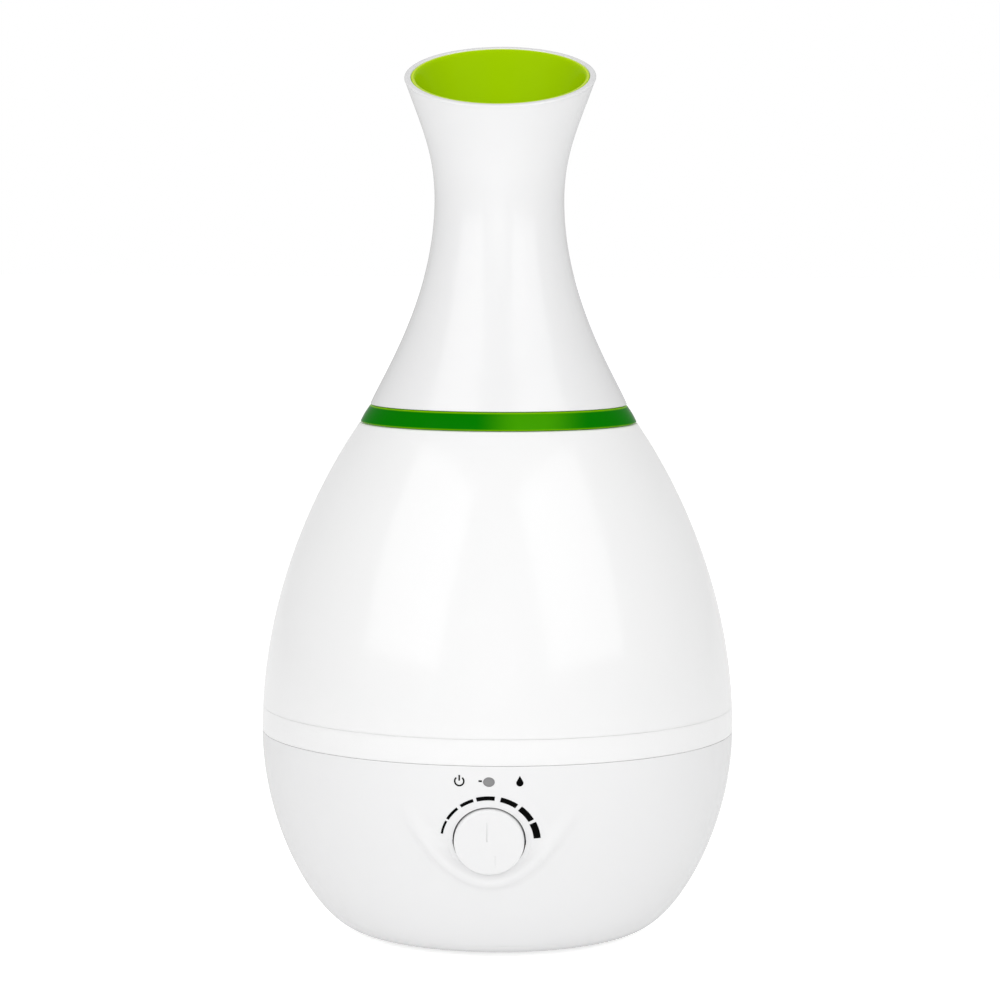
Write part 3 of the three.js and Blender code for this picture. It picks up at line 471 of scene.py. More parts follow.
ALUMINIUM = moulded("aluminium", (0.72, 0.73, 0.75), (0.62, 0.63, 0.66), (0.3, 0.45), 0.4,
                    patch=90.0, Metallic=1.0)
NICKEL = moulded("nickel_face", (0.74, 0.69, 0.60), (0.62, 0.57, 0.48), (0.15, 0.3), 0.1,
                 patch=200.0, Metallic=1.0)
BOARD = moulded("board_green", (0.015, 0.14, 0.045), (0.01, 0.10, 0.03), (0.3, 0.45), 0.5,
                patch=220.0)


# ------------------------------------------------------------------ stage, camera, light

CAMERA_AZIMUTH = math.radians(1.9)
CAMERA_DISTANCE = 1.5458
CAMERA_HEIGHT = 0.3436
CAMERA_PITCH = math.radians(5.27)
CAMERA_ROLL = math.radians(0.215)
CAMERA_LENS = 119.84
CAMERA_SHIFT = 0.0017


def make_camera():
    lens = bpy.data.cameras.new("camera")
    lens.lens = CAMERA_LENS
    lens.sensor_width = 36
    lens.shift_x = CAMERA_SHIFT
    camera = bpy.data.objects.new("camera", lens)
    bpy.context.collection.objects.link(camera)
    camera.location = (CAMERA_DISTANCE * math.sin(CAMERA_AZIMUTH),
                       -CAMERA_DISTANCE * math.cos(CAMERA_AZIMUTH), CAMERA_HEIGHT)
    turn = Matrix.Rotation(CAMERA_AZIMUTH, 4, "Z")
    turn @= Matrix.Rotation(math.pi / 2 - CAMERA_PITCH, 4, "X")
    turn @= Matrix.Rotation(CAMERA_ROLL, 4, "Z")
    camera.rotation_euler = turn.to_euler()
    bpy.context.scene.camera = camera


LIGHT_AIM = Vector((0, 0, 0.2))  # metres, near the object's middle


def softbox(name, azimuth, elevation, distance, width, height, power, mirrored=True):
    """A large rectangular light that faces the middle of the object; gloss may leave it out."""
    a, e = math.radians(azimuth), math.radians(elevation)
    out = Vector((math.sin(a) * math.cos(e), -math.cos(a) * math.cos(e), math.sin(e)))
    lamp = bpy.data.lights.new(name, "AREA")
    lamp.shape = "RECTANGLE"
    lamp.size, lamp.size_y, lamp.energy = width, height, power
    holder = bpy.data.objects.new(name, lamp)
    bpy.context.collection.objects.link(holder)
    holder.location = LIGHT_AIM + out * distance
    holder.rotation_euler = out.to_track_quat("Z", "Y").to_euler()
    holder.visible_glossy = mirrored


def make_world(light, seen):
    """Soft light from all round, and a plain white ground behind the object."""
    world = bpy.data.worlds.new("studio")
    bpy.context.scene.world = world
    world.use_nodes = True
    tree = world.node_tree
    tree.nodes.clear()
    room = tree.nodes.new("ShaderNodeBackground")
    room.inputs["Color"].default_value = (1, 1, 1, 1)
    room.inputs["Strength"].default_value = light
    sky = tree.nodes.new("ShaderNodeBackground")
    sky.inputs["Color"].default_value = (1, 1, 1, 1)
    sky.inputs["Strength"].default_value = seen
    rays = tree.nodes.new("ShaderNodeLightPath")
    mix = tree.nodes.new("ShaderNodeMixShader")
    out = tree.nodes.new("ShaderNodeOutputWorld")
    link(tree, rays.outputs["Is Camera Ray"], mix.inputs[0])
    link(tree, room.outputs[0], mix.inputs[1])
    link(tree, sky.outputs[0], mix.inputs[2])
    link(tree, mix.outputs[0], out.inputs["Surface"])


FLOOR_SIZE = 24                  # metres
FLOOR_GLOW = 0.6                 # how brightly the floor shines for the camera
FLOOR_BOUNCE = 0.16              # and for the object


def make_floor():
    deselect()
    bpy.ops.mesh.primitive_plane_add(size=FLOOR_SIZE)
    floor = named("studio_floor")
    bpy.ops.object.mode_set(mode="EDIT")
    bpy.ops.transform.translate(value=(0, 0, cad_box[0][2]))
    bpy.ops.object.mode_set(mode="OBJECT")
    material, tree, shader = principled("white_floor")
    shader.inputs["Base Color"].default_value = (0.9, 0.9, 0.9, 1)
    shader.inputs["Roughness"].default_value = 0.8
    shader.inputs["Emission Color"].default_value = (1, 1, 1, 1)
    rays = tree.nodes.new("ShaderNodeLightPath")
    glow = tree.nodes.new("ShaderNodeMapRange")
    glow.inputs["To Min"].default_value = FLOOR_BOUNCE
    glow.inputs["To Max"].default_value = FLOOR_GLOW
    link(tree, rays.outputs["Is Camera Ray"], glow.inputs["Value"])
    link(tree, glow.outputs["Result"], shader.inputs["Emission Strength"])
    floor.data.materials.append(material)


WORLD_LIGHT = 0.53
BOX_POWER = 7.5
FRONT_POWER = 7.7
TOP_POWER = 4
make_camera()
make_floor()
make_world(light=WORLD_LIGHT, seen=1.0)
softbox("softbox_left", -47, 31, 1.9, 1.45, 1.5, BOX_POWER)
softbox("softbox_right", 47, 31, 1.9, 1.45, 1.5, BOX_POWER)
softbox("front_fill", 0, 14, 2.2, 0.9, 0.9, FRONT_POWER, mirrored=False)
softbox("top_fill", 0, 89, 2.2, 1.6, 1.6, TOP_POWER, mirrored=False)
bpy.context.scene.view_settings.view_transform = "Standard"


# ------------------------------------------------------------------ base casing

LEDGE_Z = SEAM_Z - 2.8
LEDGE_R = radius_at(BASE_INSIDE, LEDGE_Z) - 6.7
FLANGE_Z = BASE_Z + 2.8
REBATE_R = COVER_R + GAP
PAD_TOP_Z = KNOB_Z + 21
PAD_LIP_Z = KNOB_Z - 21.2
PAD_CURVE = 0.0235               # the pad's outline is a parabola: rise over half-width squared
PAD_RIDGE = 2.2                  # the lip's height over the casing, at the bottom
PAD_DISH = 1.2                   # how far the pad dips inside its lip
LIP_FOOT, LIP_CREST = -2.8, 0.8  # where the lip rises, measured inwards from the outline
DISH_EDGE = 8                    # where the dip inside the lip reaches its depth


def smooth_step(low, high, value):
    t = min(max((value - low) / (high - low), 0), 1)
    return t * t * (3 - 2 * t)


def pad_height(x, z):
    """How far the control pad stands over the casing at a place on the front."""
    slope = 2 * PAD_CURVE * x
    inside = (z - PAD_LIP_Z - PAD_CURVE * x * x) / math.hypot(1, slope)
    lip = smooth_step(LIP_FOOT, LIP_CREST, inside)
    dip = smooth_step(LIP_CREST, DISH_EDGE, inside)
    fade = 1 - smooth_step(PAD_LIP_Z + 10, PAD_TOP_Z, z)
    return fade * (PAD_RIDGE * lip - (PAD_RIDGE + PAD_DISH) * dip)


def on_casing(x, z, lift=0.0):
    """The place on the casing's front at a height, as a vector in metres."""
    r = radius_at(BASE, z) + pad_height(x, z) + lift
    return Vector((x, -math.sqrt(r * r - x * x), z)) * MM


def crowd_to_front(piece, share=0.62):
    """Moves the columns of a turned piece round towards the front, where the detail is."""
    for vertex in piece.data.vertices:
        x, y, z = vertex.co
        r, angle = math.hypot(x, y), math.atan2(x, -y)
        angle -= share * math.sin(angle)
        vertex.co = (r * math.sin(angle), -r * math.cos(angle), z)


def raise_pad(piece):
    """Shapes the pad round the knob on the outer face."""
    for vertex in piece.data.vertices:
        x, y, z = (c / MM for c in vertex.co)
        r = math.hypot(x, y)
        if y < -60 and PAD_LIP_Z - 5 < z < PAD_TOP_Z + 5 and r > radius_at(BASE, z) - 0.5:
            grown = (r + pad_height(x, z)) / r
            vertex.co.x *= grown
            vertex.co.y *= grown


def knob_place(piece):
    """From the knob's own frame, axis up, to its place on the casing."""
    seat = radius_at(BASE, KNOB_Z)
    return placed(piece, (0, -seat - KNOB_LIFT, KNOB_Z), (math.pi / 2 + KNOB_TILT, 0, 0))


def casing_angle(z):
    return math.atan2(radius_at(BASE, z + 4) - radius_at(BASE, z - 4), 8)


def indicator_place(piece):
    tilt = casing_angle(INDICATOR_Z)
    return placed(piece, (0, -radius_at(BASE, INDICATOR_Z), INDICATOR_Z),
                  (math.pi / 2 + tilt, 0, 0))


def oval(piece):
    """Presses a round piece of the indicator to its oval outline."""
    for vertex in piece.data.vertices:
        vertex.co.x *= LAMP_WIDTH / (2 * LAMP_R)
        vertex.co.y *= LAMP_HEIGHT / (2 * LAMP_R)
    return piece


def inlet_place(piece):
    tilt = casing_angle(INLET_Z)
    return placed(piece, (0, radius_at(BASE, INLET_Z), INLET_Z), (-math.pi / 2 - tilt, 0, 0))


def rod(name, radius, low, high, segments=SMALL_SEGMENTS, edge=0.2):
    """A plain round pin along Z with small rounded ends."""
    profile = rounded([(0, low), (radius, low), (radius, high), (0, high)], edge, closed=False)
    return turned(name, profile, segments, closed=False)


def hoop(name, inner, outer, low, high, segments=SMALL_SEGMENTS, edge=0.2):
    """A ring of rectangular section with rounded edges."""
    profile = rounded([(inner, low), (outer, low), (outer, high), (inner, high)], edge)
    return turned(name, profile, segments)


def make_base_shell():
    top = rounded([
        (radius_at(BASE, SEAM_Z - 1.5), SEAM_Z - 1.5), (BODY_R, SEAM_Z),
        (radius_at(BASE_INSIDE, SEAM_Z), SEAM_Z), (radius_at(BASE_INSIDE, LEDGE_Z), LEDGE_Z),
    ], 0.2, closed=False)
    profile = [
        (REBATE_R, BASE_Z),
        *stretch(BASE, BASE_Z, SEAM_Z - 1.6),
        *top,
        (LEDGE_R, LEDGE_Z),
        (LEDGE_R, LEDGE_Z - 2),
        *stretch(BASE_INSIDE, FLANGE_Z + 2.2, LEDGE_Z - 2)[::-1],
        (REBATE_R - 3.5, FLANGE_Z + 2.2),
        (REBATE_R - 3.5, FLANGE_Z),
        (REBATE_R, FLANGE_Z),
    ]
    shell = turned("base_casing", profile, BASE_SEGMENTS)
    crowd_to_front(shell)
    raise_pad(shell)
    cup = knob_place(rod("cup", WELL_R + 2.2, -WELL_DEPTH - 2.2, -2.4, 96))
    fuse(shell, cup)
    well = knob_place(rod("well", WELL_R, -WELL_DEPTH, 9, KNOB_SEGMENTS))
    bushing = knob_place(rod("bushing", 4.5, -WELL_DEPTH - 4, 0))
    lamp = indicator_place(oval(rod("lamp", LAMP_R + 0.05, -12, 5)))
    inlet = inlet_place(rod("inlet", 5.3, -8, 6))
    cut(shell, well, bushing, lamp, inlet)
    finish(shell, "base", ["base_shell"], WHITE)
    # painted shade: faces inside the knob's well take the near-black lining
    shell.data.materials.append(PAINTED_WELL_SHADE)
    axis = Vector((0, -math.cos(KNOB_TILT), -math.sin(KNOB_TILT)))
    seat = Vector((0, -radius_at(BASE, KNOB_Z) - KNOB_LIFT, KNOB_Z)) * MM
    reach = (WELL_R + 0.05) * MM
    deepest = -(WELL_DEPTH + 0.3) * MM
    for face in shell.data.polygons:
        away = face.center - seat
        depth = away.dot(axis)
        if (away - axis * depth).length < reach and depth > deepest:
            face.material_index = 1
    return shell


def make_knob():
    """Domed cap with a skirt; the pointer is a groove, and a grip line runs below it."""
    profile = [
        (0, -0.6), (3.3, -0.6), (3.3, -3.1), (5.6, -3.1), (5.6, -1.2), (KNOB_R - 1.9, -1.2),
        (KNOB_R - 1.9, -5.5), (KNOB_R, -5.5),
        *curve((KNOB_R, 0.2), (KNOB_R, 0.9), (KNOB_R - 0.5, 1.25), (KNOB_R - 1.4, 1.35), 8),
        *curve((KNOB_R - 1.4, 1.35), (9, 1.75), (5, 1.9), (0, 1.9), 12)[1:],
    ]
    knob = turned("mist_knob", profile, KNOB_SEGMENTS, closed=False)
    pointer = slot_tool("pointer", 0.55, (-0.8, 1.2), (-0.8, 9.6), 1.45)
    grip = slot_tool("grip_line", 0.4, (2.8, -11.6), (2.8, -6.0), 1.42)
    cut(knob, pointer, grip)
    knob_place(knob)
    return finish(knob, "knob", ["control_knob"], WHITE)


def slot_tool(name, width, start, end, floor):
    """A round-ended bar that cuts a groove in the knob's face, down to a floor height."""
    a, b = Vector((*start, 0)), Vector((*end, 0))
    bar = rod(name, width / 2, floor, 4, 24, edge=0.1)
    pick(bar)
    bpy.ops.object.mode_set(mode="EDIT")
    bpy.ops.mesh.select_all(action="SELECT")
    bpy.ops.transform.translate(value=a * MM)
    bpy.ops.object.mode_set(mode="OBJECT")
    far = copy_of(bar, name + "_end")
    placed(far, b - a)
    middle = block(name + "_middle", (width, (b - a).length, 4 - floor),
                   (*((a + b) / 2).xy, (4 + floor) / 2))
    return fuse(bar, far, middle)


def make_lens():
    edge = LAMP_R - 0.05
    profile = [(0, -BASE_WALL - 0.8), (edge, -BASE_WALL - 0.8)]
    profile += curve((edge, -0.2), (edge, 0), (1.6, 0.2), (0, 0.22), 10)
    lens = turned("indicator_window", profile, 48, closed=False)
    indicator_place(oval(lens))
    return finish(lens, "base", ["indicator_lens"], GREY)


# ------------------------------------------------------------------ marks on the casing

MARK_LIFT = 0.05                 # a print's middle over the casing
MARK_DEPTH = 0.12


def mark(name, across, along, place):
    """A thin printed patch: a grid laid on the casing by place(u, v), and given a little depth."""
    deselect()
    bpy.ops.mesh.primitive_grid_add(x_subdivisions=across, y_subdivisions=along, size=2)
    patch = named(name)
    for vertex in patch.data.vertices:
        vertex.co = place(vertex.co.x, vertex.co.y)
    depth = patch.modifiers.new("depth", "SOLIDIFY")
    depth.thickness = MARK_DEPTH * MM
    depth.offset = 0
    bpy.ops.object.modifier_apply(modifier="depth")
    return patch


def print_on(patch):
    return finish(patch, "base", [], INK)


SCALE_R = 20.5                   # radius of the dashed scale round the knob
SCALE_WIDE = 1.03                # the scale is a little wider than it is high
SCALE_DASHES = ((-81, -63, 1.0), (-60, -41, 1.25), (-36, -19, 1.45), (-15, 7, 1.85),
                (14, 35, 2.2), (40, 61, 2.6), (65, 86, 3.0))


def make_scale():
    """Seven dashes that grow clockwise from low to high."""
    dashes = []
    for i, (first, last, width) in enumerate(SCALE_DASHES):
        def place(u, v, first=first, last=last, width=width):
            angle = math.radians(first + (last - first) * (u + 1) / 2)
            r = SCALE_R + width / 2 * v
            x = SCALE_WIDE * r * math.sin(angle)
            z = KNOB_Z + r * math.cos(angle) * math.cos(KNOB_TILT)
            return on_casing(x, z, MARK_LIFT)
        dashes.append(print_on(mark(f"scale_dash_{i + 1}", 24, 4, place)))
    return dashes


MARK_ROW = INDICATOR_Z + 0.4
DASH_X = -3.8
POWER_X, POWER_R = -13, 2.0
POWER_STROKE = 0.34              # half the width of the power sign's lines
DROP_X = 13.5
DROP_R, DROP_TIP = 1.55, 3.15    # the water drop's round end, and its tip over that centre


def make_symbols():
    """A small dash, a power sign to its left and a water drop to its right."""
    lean = math.asin(DROP_R / DROP_TIP)

    def small_dash(u, v):
        return on_casing(DASH_X + 0.75 * u, MARK_ROW + 0.36 * v, MARK_LIFT)

    def power_arc(u, v):
        angle = math.radians(180 + 140 * u)
        r = POWER_R + POWER_STROKE * v
        x, z = POWER_X + r * math.sin(angle), MARK_ROW - 0.2 + r * math.cos(angle)
        return on_casing(x, z, MARK_LIFT)

    def power_bar(u, v):
        return on_casing(POWER_X + POWER_STROKE * u, MARK_ROW + 1.3 + 1.25 * v, MARK_LIFT)

    def drop(u, v):
        up = -DROP_R + (DROP_R + DROP_TIP) * (v + 1) / 2
        if up < DROP_R * math.sin(lean):
            half = math.sqrt(max(DROP_R ** 2 - up ** 2, 0))
        else:
            half = (DROP_TIP - up) * math.tan(lean)
        return on_casing(DROP_X + half * u, MARK_ROW - 0.8 + up, MARK_LIFT)

    for name, across, along, place in (
        ("mark_dash", 4, 3, small_dash), ("mark_power_arc", 40, 3, power_arc),
        ("mark_power_bar", 3, 6, power_bar), ("mark_drop", 12, 32, drop),
    ):
        print_on(mark(name, across, along, place))


# ------------------------------------------------------------------ bottom, feet, screws, inlet

def around(radius, angles):
    return [(radius * math.cos(math.radians(a)), radius * math.sin(math.radians(a)))
            for a in angles]


def repeated(piece, places, label):
    """Copies of a piece at [x, y] places, each with its own mesh; the piece itself is removed."""
    made = []
    for i, (x, y) in enumerate(places):
        item = copy_of(piece, f"{label}_{i + 1}")
        placed(item, (x, y, 0))
        made.append(item)
    bpy.data.objects.remove(piece)
    return made


FOOT_PLACES = around(COVER_R + GAP - 11, [45, 135, 225, 315])
SCREW_PLACES = around(COVER_R + GAP - 13, [22.5, 157.5, 202.5, 337.5])


def make_bottom():
    top = BASE_Z + 2.5
    cover = hoop("bottom_plate", 0, COVER_R, BASE_Z, top, KNOB_SEGMENTS, edge=0.4)
    posts = [(25, -11), (-25, -11), (-25, -45), (25, -45)]
    posts += [(s * 18.5, FAN_Y + t * 18.5) for s in (1, -1) for t in (1, -1)]
    fuse(cover, *repeated(rod("boss", 5, top - 0.6, top + 2.5, 32), SCREW_PLACES, "boss"))
    fuse(cover, *repeated(rod("post", 2.6, top - 0.6, 9.7, 24), posts, "post"))
    cut(cover, *repeated(rod("foot_pocket", 6.3, 1, BASE_Z + 1.1, 48), FOOT_PLACES, "pocket"))
    cut(cover, *repeated(rod("head_pocket", 3.3, 1, BASE_Z + 3, 32), SCREW_PLACES, "head"))
    cut(cover, *repeated(rod("shank_hole", 1.75, 1, top + 4, 24), SCREW_PLACES, "hole"))
    slots = [block(f"slot_{i}", (3.4, 34, 6), (7 * (i - 2), FAN_Y, top)) for i in range(5)]
    cut(cover, *slots)
    finish(cover, "base", ["bottom_cover"], INNER)

    foot = turned("foot", rounded(
        [(0, 0), (6, 0), (6, 2.8), (0, 2.8)], 0.8, closed=False), 48, closed=False)
    for i, item in enumerate(repeated(foot, FOOT_PLACES, "rubber_foot")):
        finish(item, "base", [f"foot_{i + 1}"], RUBBER)

    low, high = span("bottom_screw_1")
    seat = BASE_Z + 2.7
    screw = turned("screw", [
        (0, low.z + 0.9), (0.7, low.z + 0.9), (0.9, low.z), (2.6, low.z), (3, low.z + 0.4),
        (3, seat), (1.45, seat), (1.45, high.z - 1.2), (0, high.z)], 32, closed=False)
    for i, item in enumerate(repeated(screw, SCREW_PLACES, "cover_screw")):
        finish(item, "base", [f"bottom_screw_{i + 1}"], STEEL)


def make_inlet():
    body = rod("power_socket", 5, -12, 1, 48)
    flange = rod("socket_flange", 7.5, 0.5, 1.7, 64, edge=0.5)
    fuse(body, flange)
    cut(body, rod("socket_bore", 3.2, -8, 3, 48))
    fuse(body, rod("socket_pin", 0.9, -9, -1, 24, edge=0.3))
    inlet_place(body)
    return finish(body, "base", ["power_inlet"], BLACK)


# ------------------------------------------------------------------ water tray and its parts

BOWL_R = CAP_X + 27
TRAY_FLOOR = 56
TRAY_TOP = TRAY_FLOOR + 2.5
TRAY_RIM = LEDGE_Z + GAP
RIM_TOP = TRAY_RIM + 2
PIN_TOP = 79.4
CHIMNEY_R = 14


def make_tray():
    profile = rounded([
        (9.3, TRAY_FLOOR), (BOWL_R + 2.5, TRAY_FLOOR), (BOWL_R + 2.5, 78),
        (LEDGE_R - 5, TRAY_RIM - 4.8), (LEDGE_R - 3, TRAY_RIM),
        (span("basin_tray")[1].x, TRAY_RIM), (span("basin_tray")[1].x, RIM_TOP),
        (LEDGE_R - 5.2, RIM_TOP), (LEDGE_R - 7, TRAY_RIM - 2.6), (BOWL_R, 80.2),
        (BOWL_R, TRAY_TOP), (9.3, TRAY_TOP)], 1.2)
    tray = turned("water_tray", profile, TRAY_SEGMENTS)
    pin = turned("push_pin", [
        (0, TRAY_TOP - 0.5), (6, TRAY_TOP - 0.5), (6, TRAY_TOP + 1.4), (5.4, TRAY_TOP + 2),
        (3.6, TRAY_TOP + 2.3), (3, TRAY_TOP + 3.4), (3, PIN_TOP - 0.7), (2.4, PIN_TOP),
        (0, PIN_TOP)], 40, closed=False)
    seal_boss = hoop("seal_boss", 13, 15.5, TRAY_FLOOR - 4, TRAY_FLOOR + 0.6, 48)
    fuse(tray, placed(pin, (CAP_X, 0, 0)), seal_boss)
    root = TRAY_FLOOR + 0.6
    clamps = around(18, [30, 150, 270])
    fuse(tray, *repeated(rod("clamp_boss", 3, TRAY_FLOOR - 4, root, 24), clamps, "clamp_boss"))
    fuse(tray, *repeated(rod("long_post", 4, 7.3, root, 32), SCREW_PLACES, "long_post"))
    posts = [(s * 26, -12 + t * 19) for s, t in ((1, 1), (-1, 1), (-1, -1), (1, -1))]
    fuse(tray, *repeated(rod("short_post", 3, 41.9, root, 24), posts, "short_post"))
    fuse(tray, *repeated(rod("stake", 1.4, 38.5, root, 24), posts, "stake"))
    port = placed(rod("port", 12.2, TRAY_FLOOR - 2, TRAY_TOP + 2, 64), (0, FAN_Y, 0))
    cut(tray, port)
    cut(tray, *repeated(rod("screw_hole", 1.75, 6, 18, 24), SCREW_PLACES, "screw_hole"))
    cut(tray, *repeated(rod("clamp_hole", 1.5, TRAY_FLOOR - 5, TRAY_FLOOR - 0.4, 24), clamps,
                        "clamp_hole"))
    finish(tray, "base", ["basin_tray"], WHITE)
    low, high = span("tray_chimney")
    chimney = hoop("air_chimney", CHIMNEY_R - 1.8, CHIMNEY_R, low.z, high.z, 64, edge=0.6)
    finish(placed(chimney, (0, FAN_Y, 0)), "base", ["tray_chimney"], WHITE)


def make_mist_maker():
    low, high = span("transducer_seal")
    seal = turned("disc_seal", rounded([
        (8.4, low.z), (12.7, low.z), (12.7, high.z), (8.4, high.z), (8.4, high.z - 0.9),
        (10.9, high.z - 0.9), (10.9, low.z + 0.9), (8.4, low.z + 0.9)], 0.25), 64)
    finish(seal, "base", ["transducer_seal"], SILICONE)
    low, high = span("transducer_disc")
    disc = turned("mist_disc", [
        (0, low.z), (4, low.z), (4, low.z + 0.4), (10.4, low.z + 0.4), (10.6, low.z + 0.6),
        (10.6, high.z - 0.2), (10.4, high.z), (8.2, high.z), (8.0, high.z - 0.12),
        (0, high.z - 0.12)], 64, closed=False)
    finish(disc, "base", ["transducer_disc"], NICKEL)


def make_float():
    low, high = span("float_post")
    post = turned("float_stem", rounded([
        (0, low.z), (5.5, low.z), (5.5, low.z + 1.5), (3, low.z + 1.5), (3, high.z), (0, high.z)],
        0.4, closed=False), 40, closed=False)
    finish(placed(post, (FLOAT_X, 0, 0)), "base", ["float_post"], INNER)
    low, high = span("float_ring")
    ring = turned("float_body", rounded([
        (3.4, low.z), (4.3, low.z), (4.3, low.z + 2.5), (6.9, low.z + 2.5), (6.9, low.z),
        (10, low.z), (10, high.z), (3.4, high.z)], 0.7), 56)
    finish(placed(ring, (FLOAT_X, 0, 0)), "float", ["float_ring"], MILKY)
    low, high = span("float_retainer")
    clip = hoop("float_stop", 3.3, 6, low.z, high.z, 40, edge=0.4)
    finish(placed(clip, (FLOAT_X, 0, 0)), "base", ["float_retainer"], SILICONE)


# ------------------------------------------------------------------ tank

FLOOR_Z = RIM_TOP + GAP + 1.9
FLOOR_TOP = FLOOR_Z + 2.4
DECK_TOP = TANK_TOP - GAP
UPSTAND_R = 50
TUBE_R = 15
BAND_END = BAND_TOP + 4
BAND_FOOT = TANK_Z - 0.46        # the band reaches down into the seam gap


def make_tank():
    spigot = radius_at(TANK_INSIDE, BAND_TOP) - GAP
    neck_in = radius_at(TANK_INSIDE, BAND_END) - GAP
    foot = RIM_TOP + GAP
    wall_foot = radius_at(TANK_INSIDE, TANK_Z)
    profile = [
        (0, FLOOR_Z), (LEDGE_R - 1, FLOOR_Z), (LEDGE_R - 1, foot), (LEDGE_R + 3, foot),
        (LEDGE_R + 3, FLOOR_Z), (wall_foot, FLOOR_Z), (wall_foot, TANK_Z),
        (BODY_R - 1.7, TANK_Z), (BODY_R - 1.2, BAND_FOOT), (BODY_R - 0.15, BAND_FOOT),
        (BODY_R, TANK_Z - 0.3),
        *stretch(TANK, TANK_Z + 1, BAND_TOP - 0.08),
        (radius_at(TANK, BAND_TOP) - 0.06, BAND_TOP),
        (spigot, BAND_TOP), (neck_in, BAND_END), (neck_in - 1.5, BAND_END),
        (spigot - 2.2, FLOOR_TOP), (0, FLOOR_TOP)]
    band = turned("tank_band", profile, TRAY_SEGMENTS, closed=False)
    collar = placed(rod("fill_collar", 20.3, 86, FLOOR_TOP, 96), (CAP_X, 0, 0))
    skirt = rod("mist_skirt", TUBE_R, 78, FLOOR_TOP, 96)
    socket = rod("tube_socket", TUBE_R + 2.6, FLOOR_TOP - 0.5, FLOOR_TOP + 5, 96)
    fuse(band, collar, skirt, socket)
    filling = placed(rod("filling", 17.5, 84, FLOOR_TOP + 2, 96), (CAP_X, 0, 0))
    cut(band, filling, rod("mist_hole", TUBE_R - 1.9, 76, FLOOR_TOP + 7, 96),
        rod("tube_seat", TUBE_R + 0.4, FLOOR_TOP, FLOOR_TOP + 8, 96))
    finish(band, "tank", ["tank_bottom"], MILKY)

    deck_low = DECK_TOP - 2.4
    up_top = COLLAR_TOP - 1.7
    profile = [
        *stretch(TANK, BAND_TOP + 0.12, DECK_TOP - 0.4),
        (radius_at(TANK, DECK_TOP) - 0.4, DECK_TOP),
        *rounded([(UPSTAND_R + 3, DECK_TOP), (UPSTAND_R, DECK_TOP), (UPSTAND_R, up_top),
                  (UPSTAND_R - 2, up_top), (UPSTAND_R - 2, DECK_TOP),
                  (TUBE_R + 0.4, DECK_TOP), (TUBE_R + 0.4, deck_low),
                  (radius_at(TANK_INSIDE, deck_low), deck_low)], 0.5, closed=False),
        *stretch(TANK_INSIDE, BAND_TOP + GAP, deck_low)[::-1][1:],
        (radius_at(TANK, BAND_TOP) - 0.5, BAND_TOP + GAP),
        (radius_at(TANK, BAND_TOP) - 0.06, BAND_TOP + 0.04)]
    shell = turned("tank_wall", profile, WALL_SEGMENTS)
    finish(shell, "tank", ["tank_shell"], MILKY)

    low, high = span("mist_tube")
    tube = hoop("mist_pipe", TUBE_R - 1.8, TUBE_R, low.z, high.z, 96, edge=0.5)
    finish(tube, "tank", ["mist_tube"], MILKY)
    low, high = span("tube_seal")
    seal = turned("pipe_seal", rounded([
        (TUBE_R + GAP, low.z), (TUBE_R + 3, low.z), (TUBE_R + 3, low.z + 1),
        (TUBE_R + 1.6, high.z), (TUBE_R + GAP, high.z)], 0.3), 64)
    finish(seal, "tank", ["tube_seal"], SILICONE)


def make_valve():
    low, high = span("valve_plunger")
    seat = span("valve_seal")[0].z
    stem = turned("valve_stem", rounded([
        (0, low.z), (1.9, low.z), (1.9, seat - 1.2), (8, seat - 1.2), (8, seat + 1.5),
        (11, seat + 1.5), (11, seat + 3.3), (1.9, seat + 3.3), (1.9, high.z), (0, high.z)],
        0.3, closed=False), 48, closed=False)
    finish(placed(stem, (CAP_X, 0, 0)), "valve", ["valve_plunger"], INNER)
    low, high = span("valve_seal")
    washer = hoop("valve_washer", 8.3, 11, low.z, high.z, 48, edge=0.3)
    finish(placed(washer, (CAP_X, 0, 0)), "valve", ["valve_seal"], SILICONE)


# ------------------------------------------------------------------ collar, neck and liner

def make_collar():
    inner = UPSTAND_R + 0.4
    lip = radius_at(inset(NECK, NECK_WALL), COLLAR_TOP + 3) - 0.4
    middle = ((TANK_TOP_R + NECK_FOOT_R) / 2 + 0.3, (TANK_TOP + COLLAR_TOP) / 2)
    side = curve((TANK_TOP_R - 0.2, TANK_TOP + 0.5), middle, middle,
                 (NECK_FOOT_R + 0.1, COLLAR_TOP - 0.5), 8)
    profile = [
        (inner, TANK_TOP), (TANK_TOP_R - 0.9, TANK_TOP), *side, (NECK_FOOT_R - 0.6, COLLAR_TOP),
        *rounded([(lip + 1, COLLAR_TOP), (lip, COLLAR_TOP), (lip, COLLAR_TOP + 3),
                  (lip - 2, COLLAR_TOP + 3), (lip - 2, COLLAR_TOP), (inner, COLLAR_TOP)],
                 0.4, closed=False)]
    ring = turned("green_collar", profile, WALL_SEGMENTS)
    return finish(ring, "collar", ["collar_ring"], GREEN)


def slant(piece, start):
    """Moves the rings above a height so that the flat top becomes the slanted mouth."""
    rise = math.tan(MOUTH_TILT)
    for vertex in piece.data.vertices:
        x, y, z = (c / MM for c in vertex.co)
        if z <= start:
            continue
        r = math.hypot(x, y)
        offset = r - radius_at(NECK, z)
        top = MOUTH_Z
        for _ in range(12):
            top = MOUTH_Z + rise * y / r * (radius_at(NECK, top) + offset)
        z = start + (z - start) * (top - start) / (MOUTH_Z - start)
        grown = (radius_at(NECK, z) + offset) / r
        vertex.co = Vector((x * grown, y * grown, z)) * MM


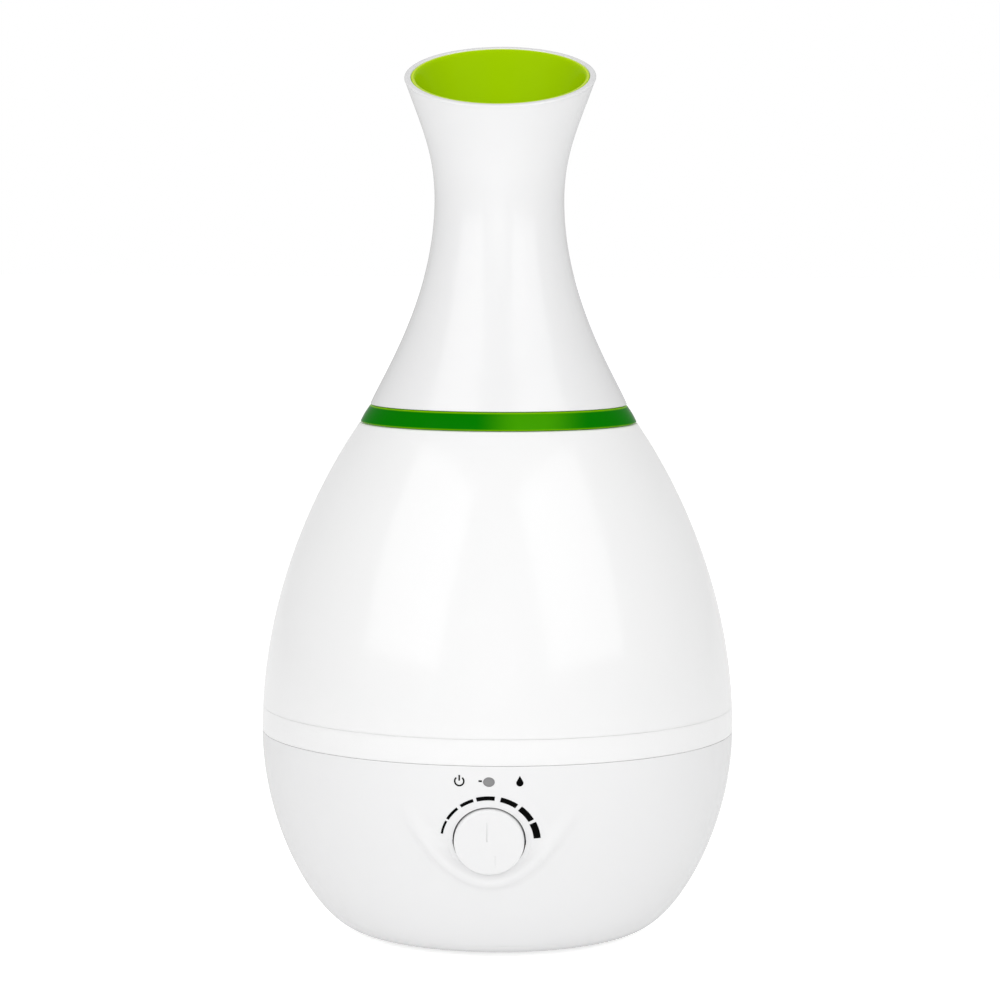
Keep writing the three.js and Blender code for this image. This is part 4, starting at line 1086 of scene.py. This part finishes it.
def make_neck():
    wall = [(r - NECK_WALL, z) for r, z in NECK]
    rim = MOUTH_Z
    outer, inner = radius_at(NECK, rim), radius_at(wall, rim)
    lip = curve((outer - 0.2, rim - 0.9), (outer, rim - 0.2), (outer - 0.7, rim),
                (outer - 1.1, rim), 5)
    back = curve((inner + 0.3, rim), (inner + 0.1, rim), (inner, rim - 0.1),
                 (inner, rim - 0.3), 4)
    profile = [
        (radius_at(NECK, NECK_Z) - 0.3, NECK_Z),
        *stretch(NECK, NECK_Z + 0.3, rim - 1.2), *lip, *back,
        *stretch(inset(NECK, NECK_WALL)[:41] + wall[41:], NECK_Z, rim - 1)[::-1][::2],
        (radius_at(inset(NECK, NECK_WALL), NECK_Z), NECK_Z)]
    neck = turned("neck_wall", profile, WALL_SEGMENTS)
    slant(neck, WAIST_Z)
    return finish(neck, "neck", ["neck_shell"], WHITE)


PAINTED_RIM_FACES_UP = 0.85              # how far up a face looks to get the painted highlight on the liner's rim


def make_liner():
    low = span("neck_liner")[0].z
    rim = MOUTH_Z - 0.2
    outside = [(r - NECK_WALL - GAP, z) for r, z in NECK]
    inside = [(r - NECK_WALL - GAP - LINER_WALL, z) for r, z in NECK]
    outer, inner = radius_at(outside, rim), radius_at(inside, rim)
    profile = [
        *stretch(outside, low, rim - 1.6), (outer + 0.1, rim - 1), (outer + 0.22, rim - 0.25),
        (outer - 0.05, rim), (inner + 0.6, rim), (inner + 0.15, rim - 0.25),
        *stretch(inside, low, rim - 0.9)[::-1]]
    liner = turned("green_liner", profile, WALL_SEGMENTS)
    slant(liner, WAIST_Z)
    finish(liner, "neck", ["neck_liner"], LIME)
    # painted highlight: the rim's upward faces take the lighter lime
    liner.data.materials.append(LIME_PAINTED_HIGHLIGHT)
    for face in liner.data.polygons:
        if face.normal.z > PAINTED_RIM_FACES_UP:
            face.material_index = 1


# ------------------------------------------------------------------ make everything

make_base_shell()
make_knob()
make_lens()
make_scale()
make_symbols()
make_bottom()
make_inlet()
make_tray()
make_mist_maker()
make_float()
make_tank()
make_valve()
make_collar()
make_neck()
make_liner()

KEPT = {
    STEEL: ("transducer_clamp", "clamp_screw_1", "clamp_screw_2", "clamp_screw_3",
            "potentiometer", "pot_nut", "inlet_nut", "fan_motor", "float_magnet",
            "valve_spring"),
    BOARD: ("driver_board", "power_board"),
    ALUMINIUM: ("heatsink", "pot_shaft"),
    BLACK: ("fan_housing", "fan_rotor"),
    INNER: ("air_duct", "tank_cap"),
    GREY: ("indicator_led",),
    SILICONE: ("cap_gasket",),
}
for material, nodes in KEPT.items():
    for node in nodes:
        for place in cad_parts[node].material_slots:
            place.material = material
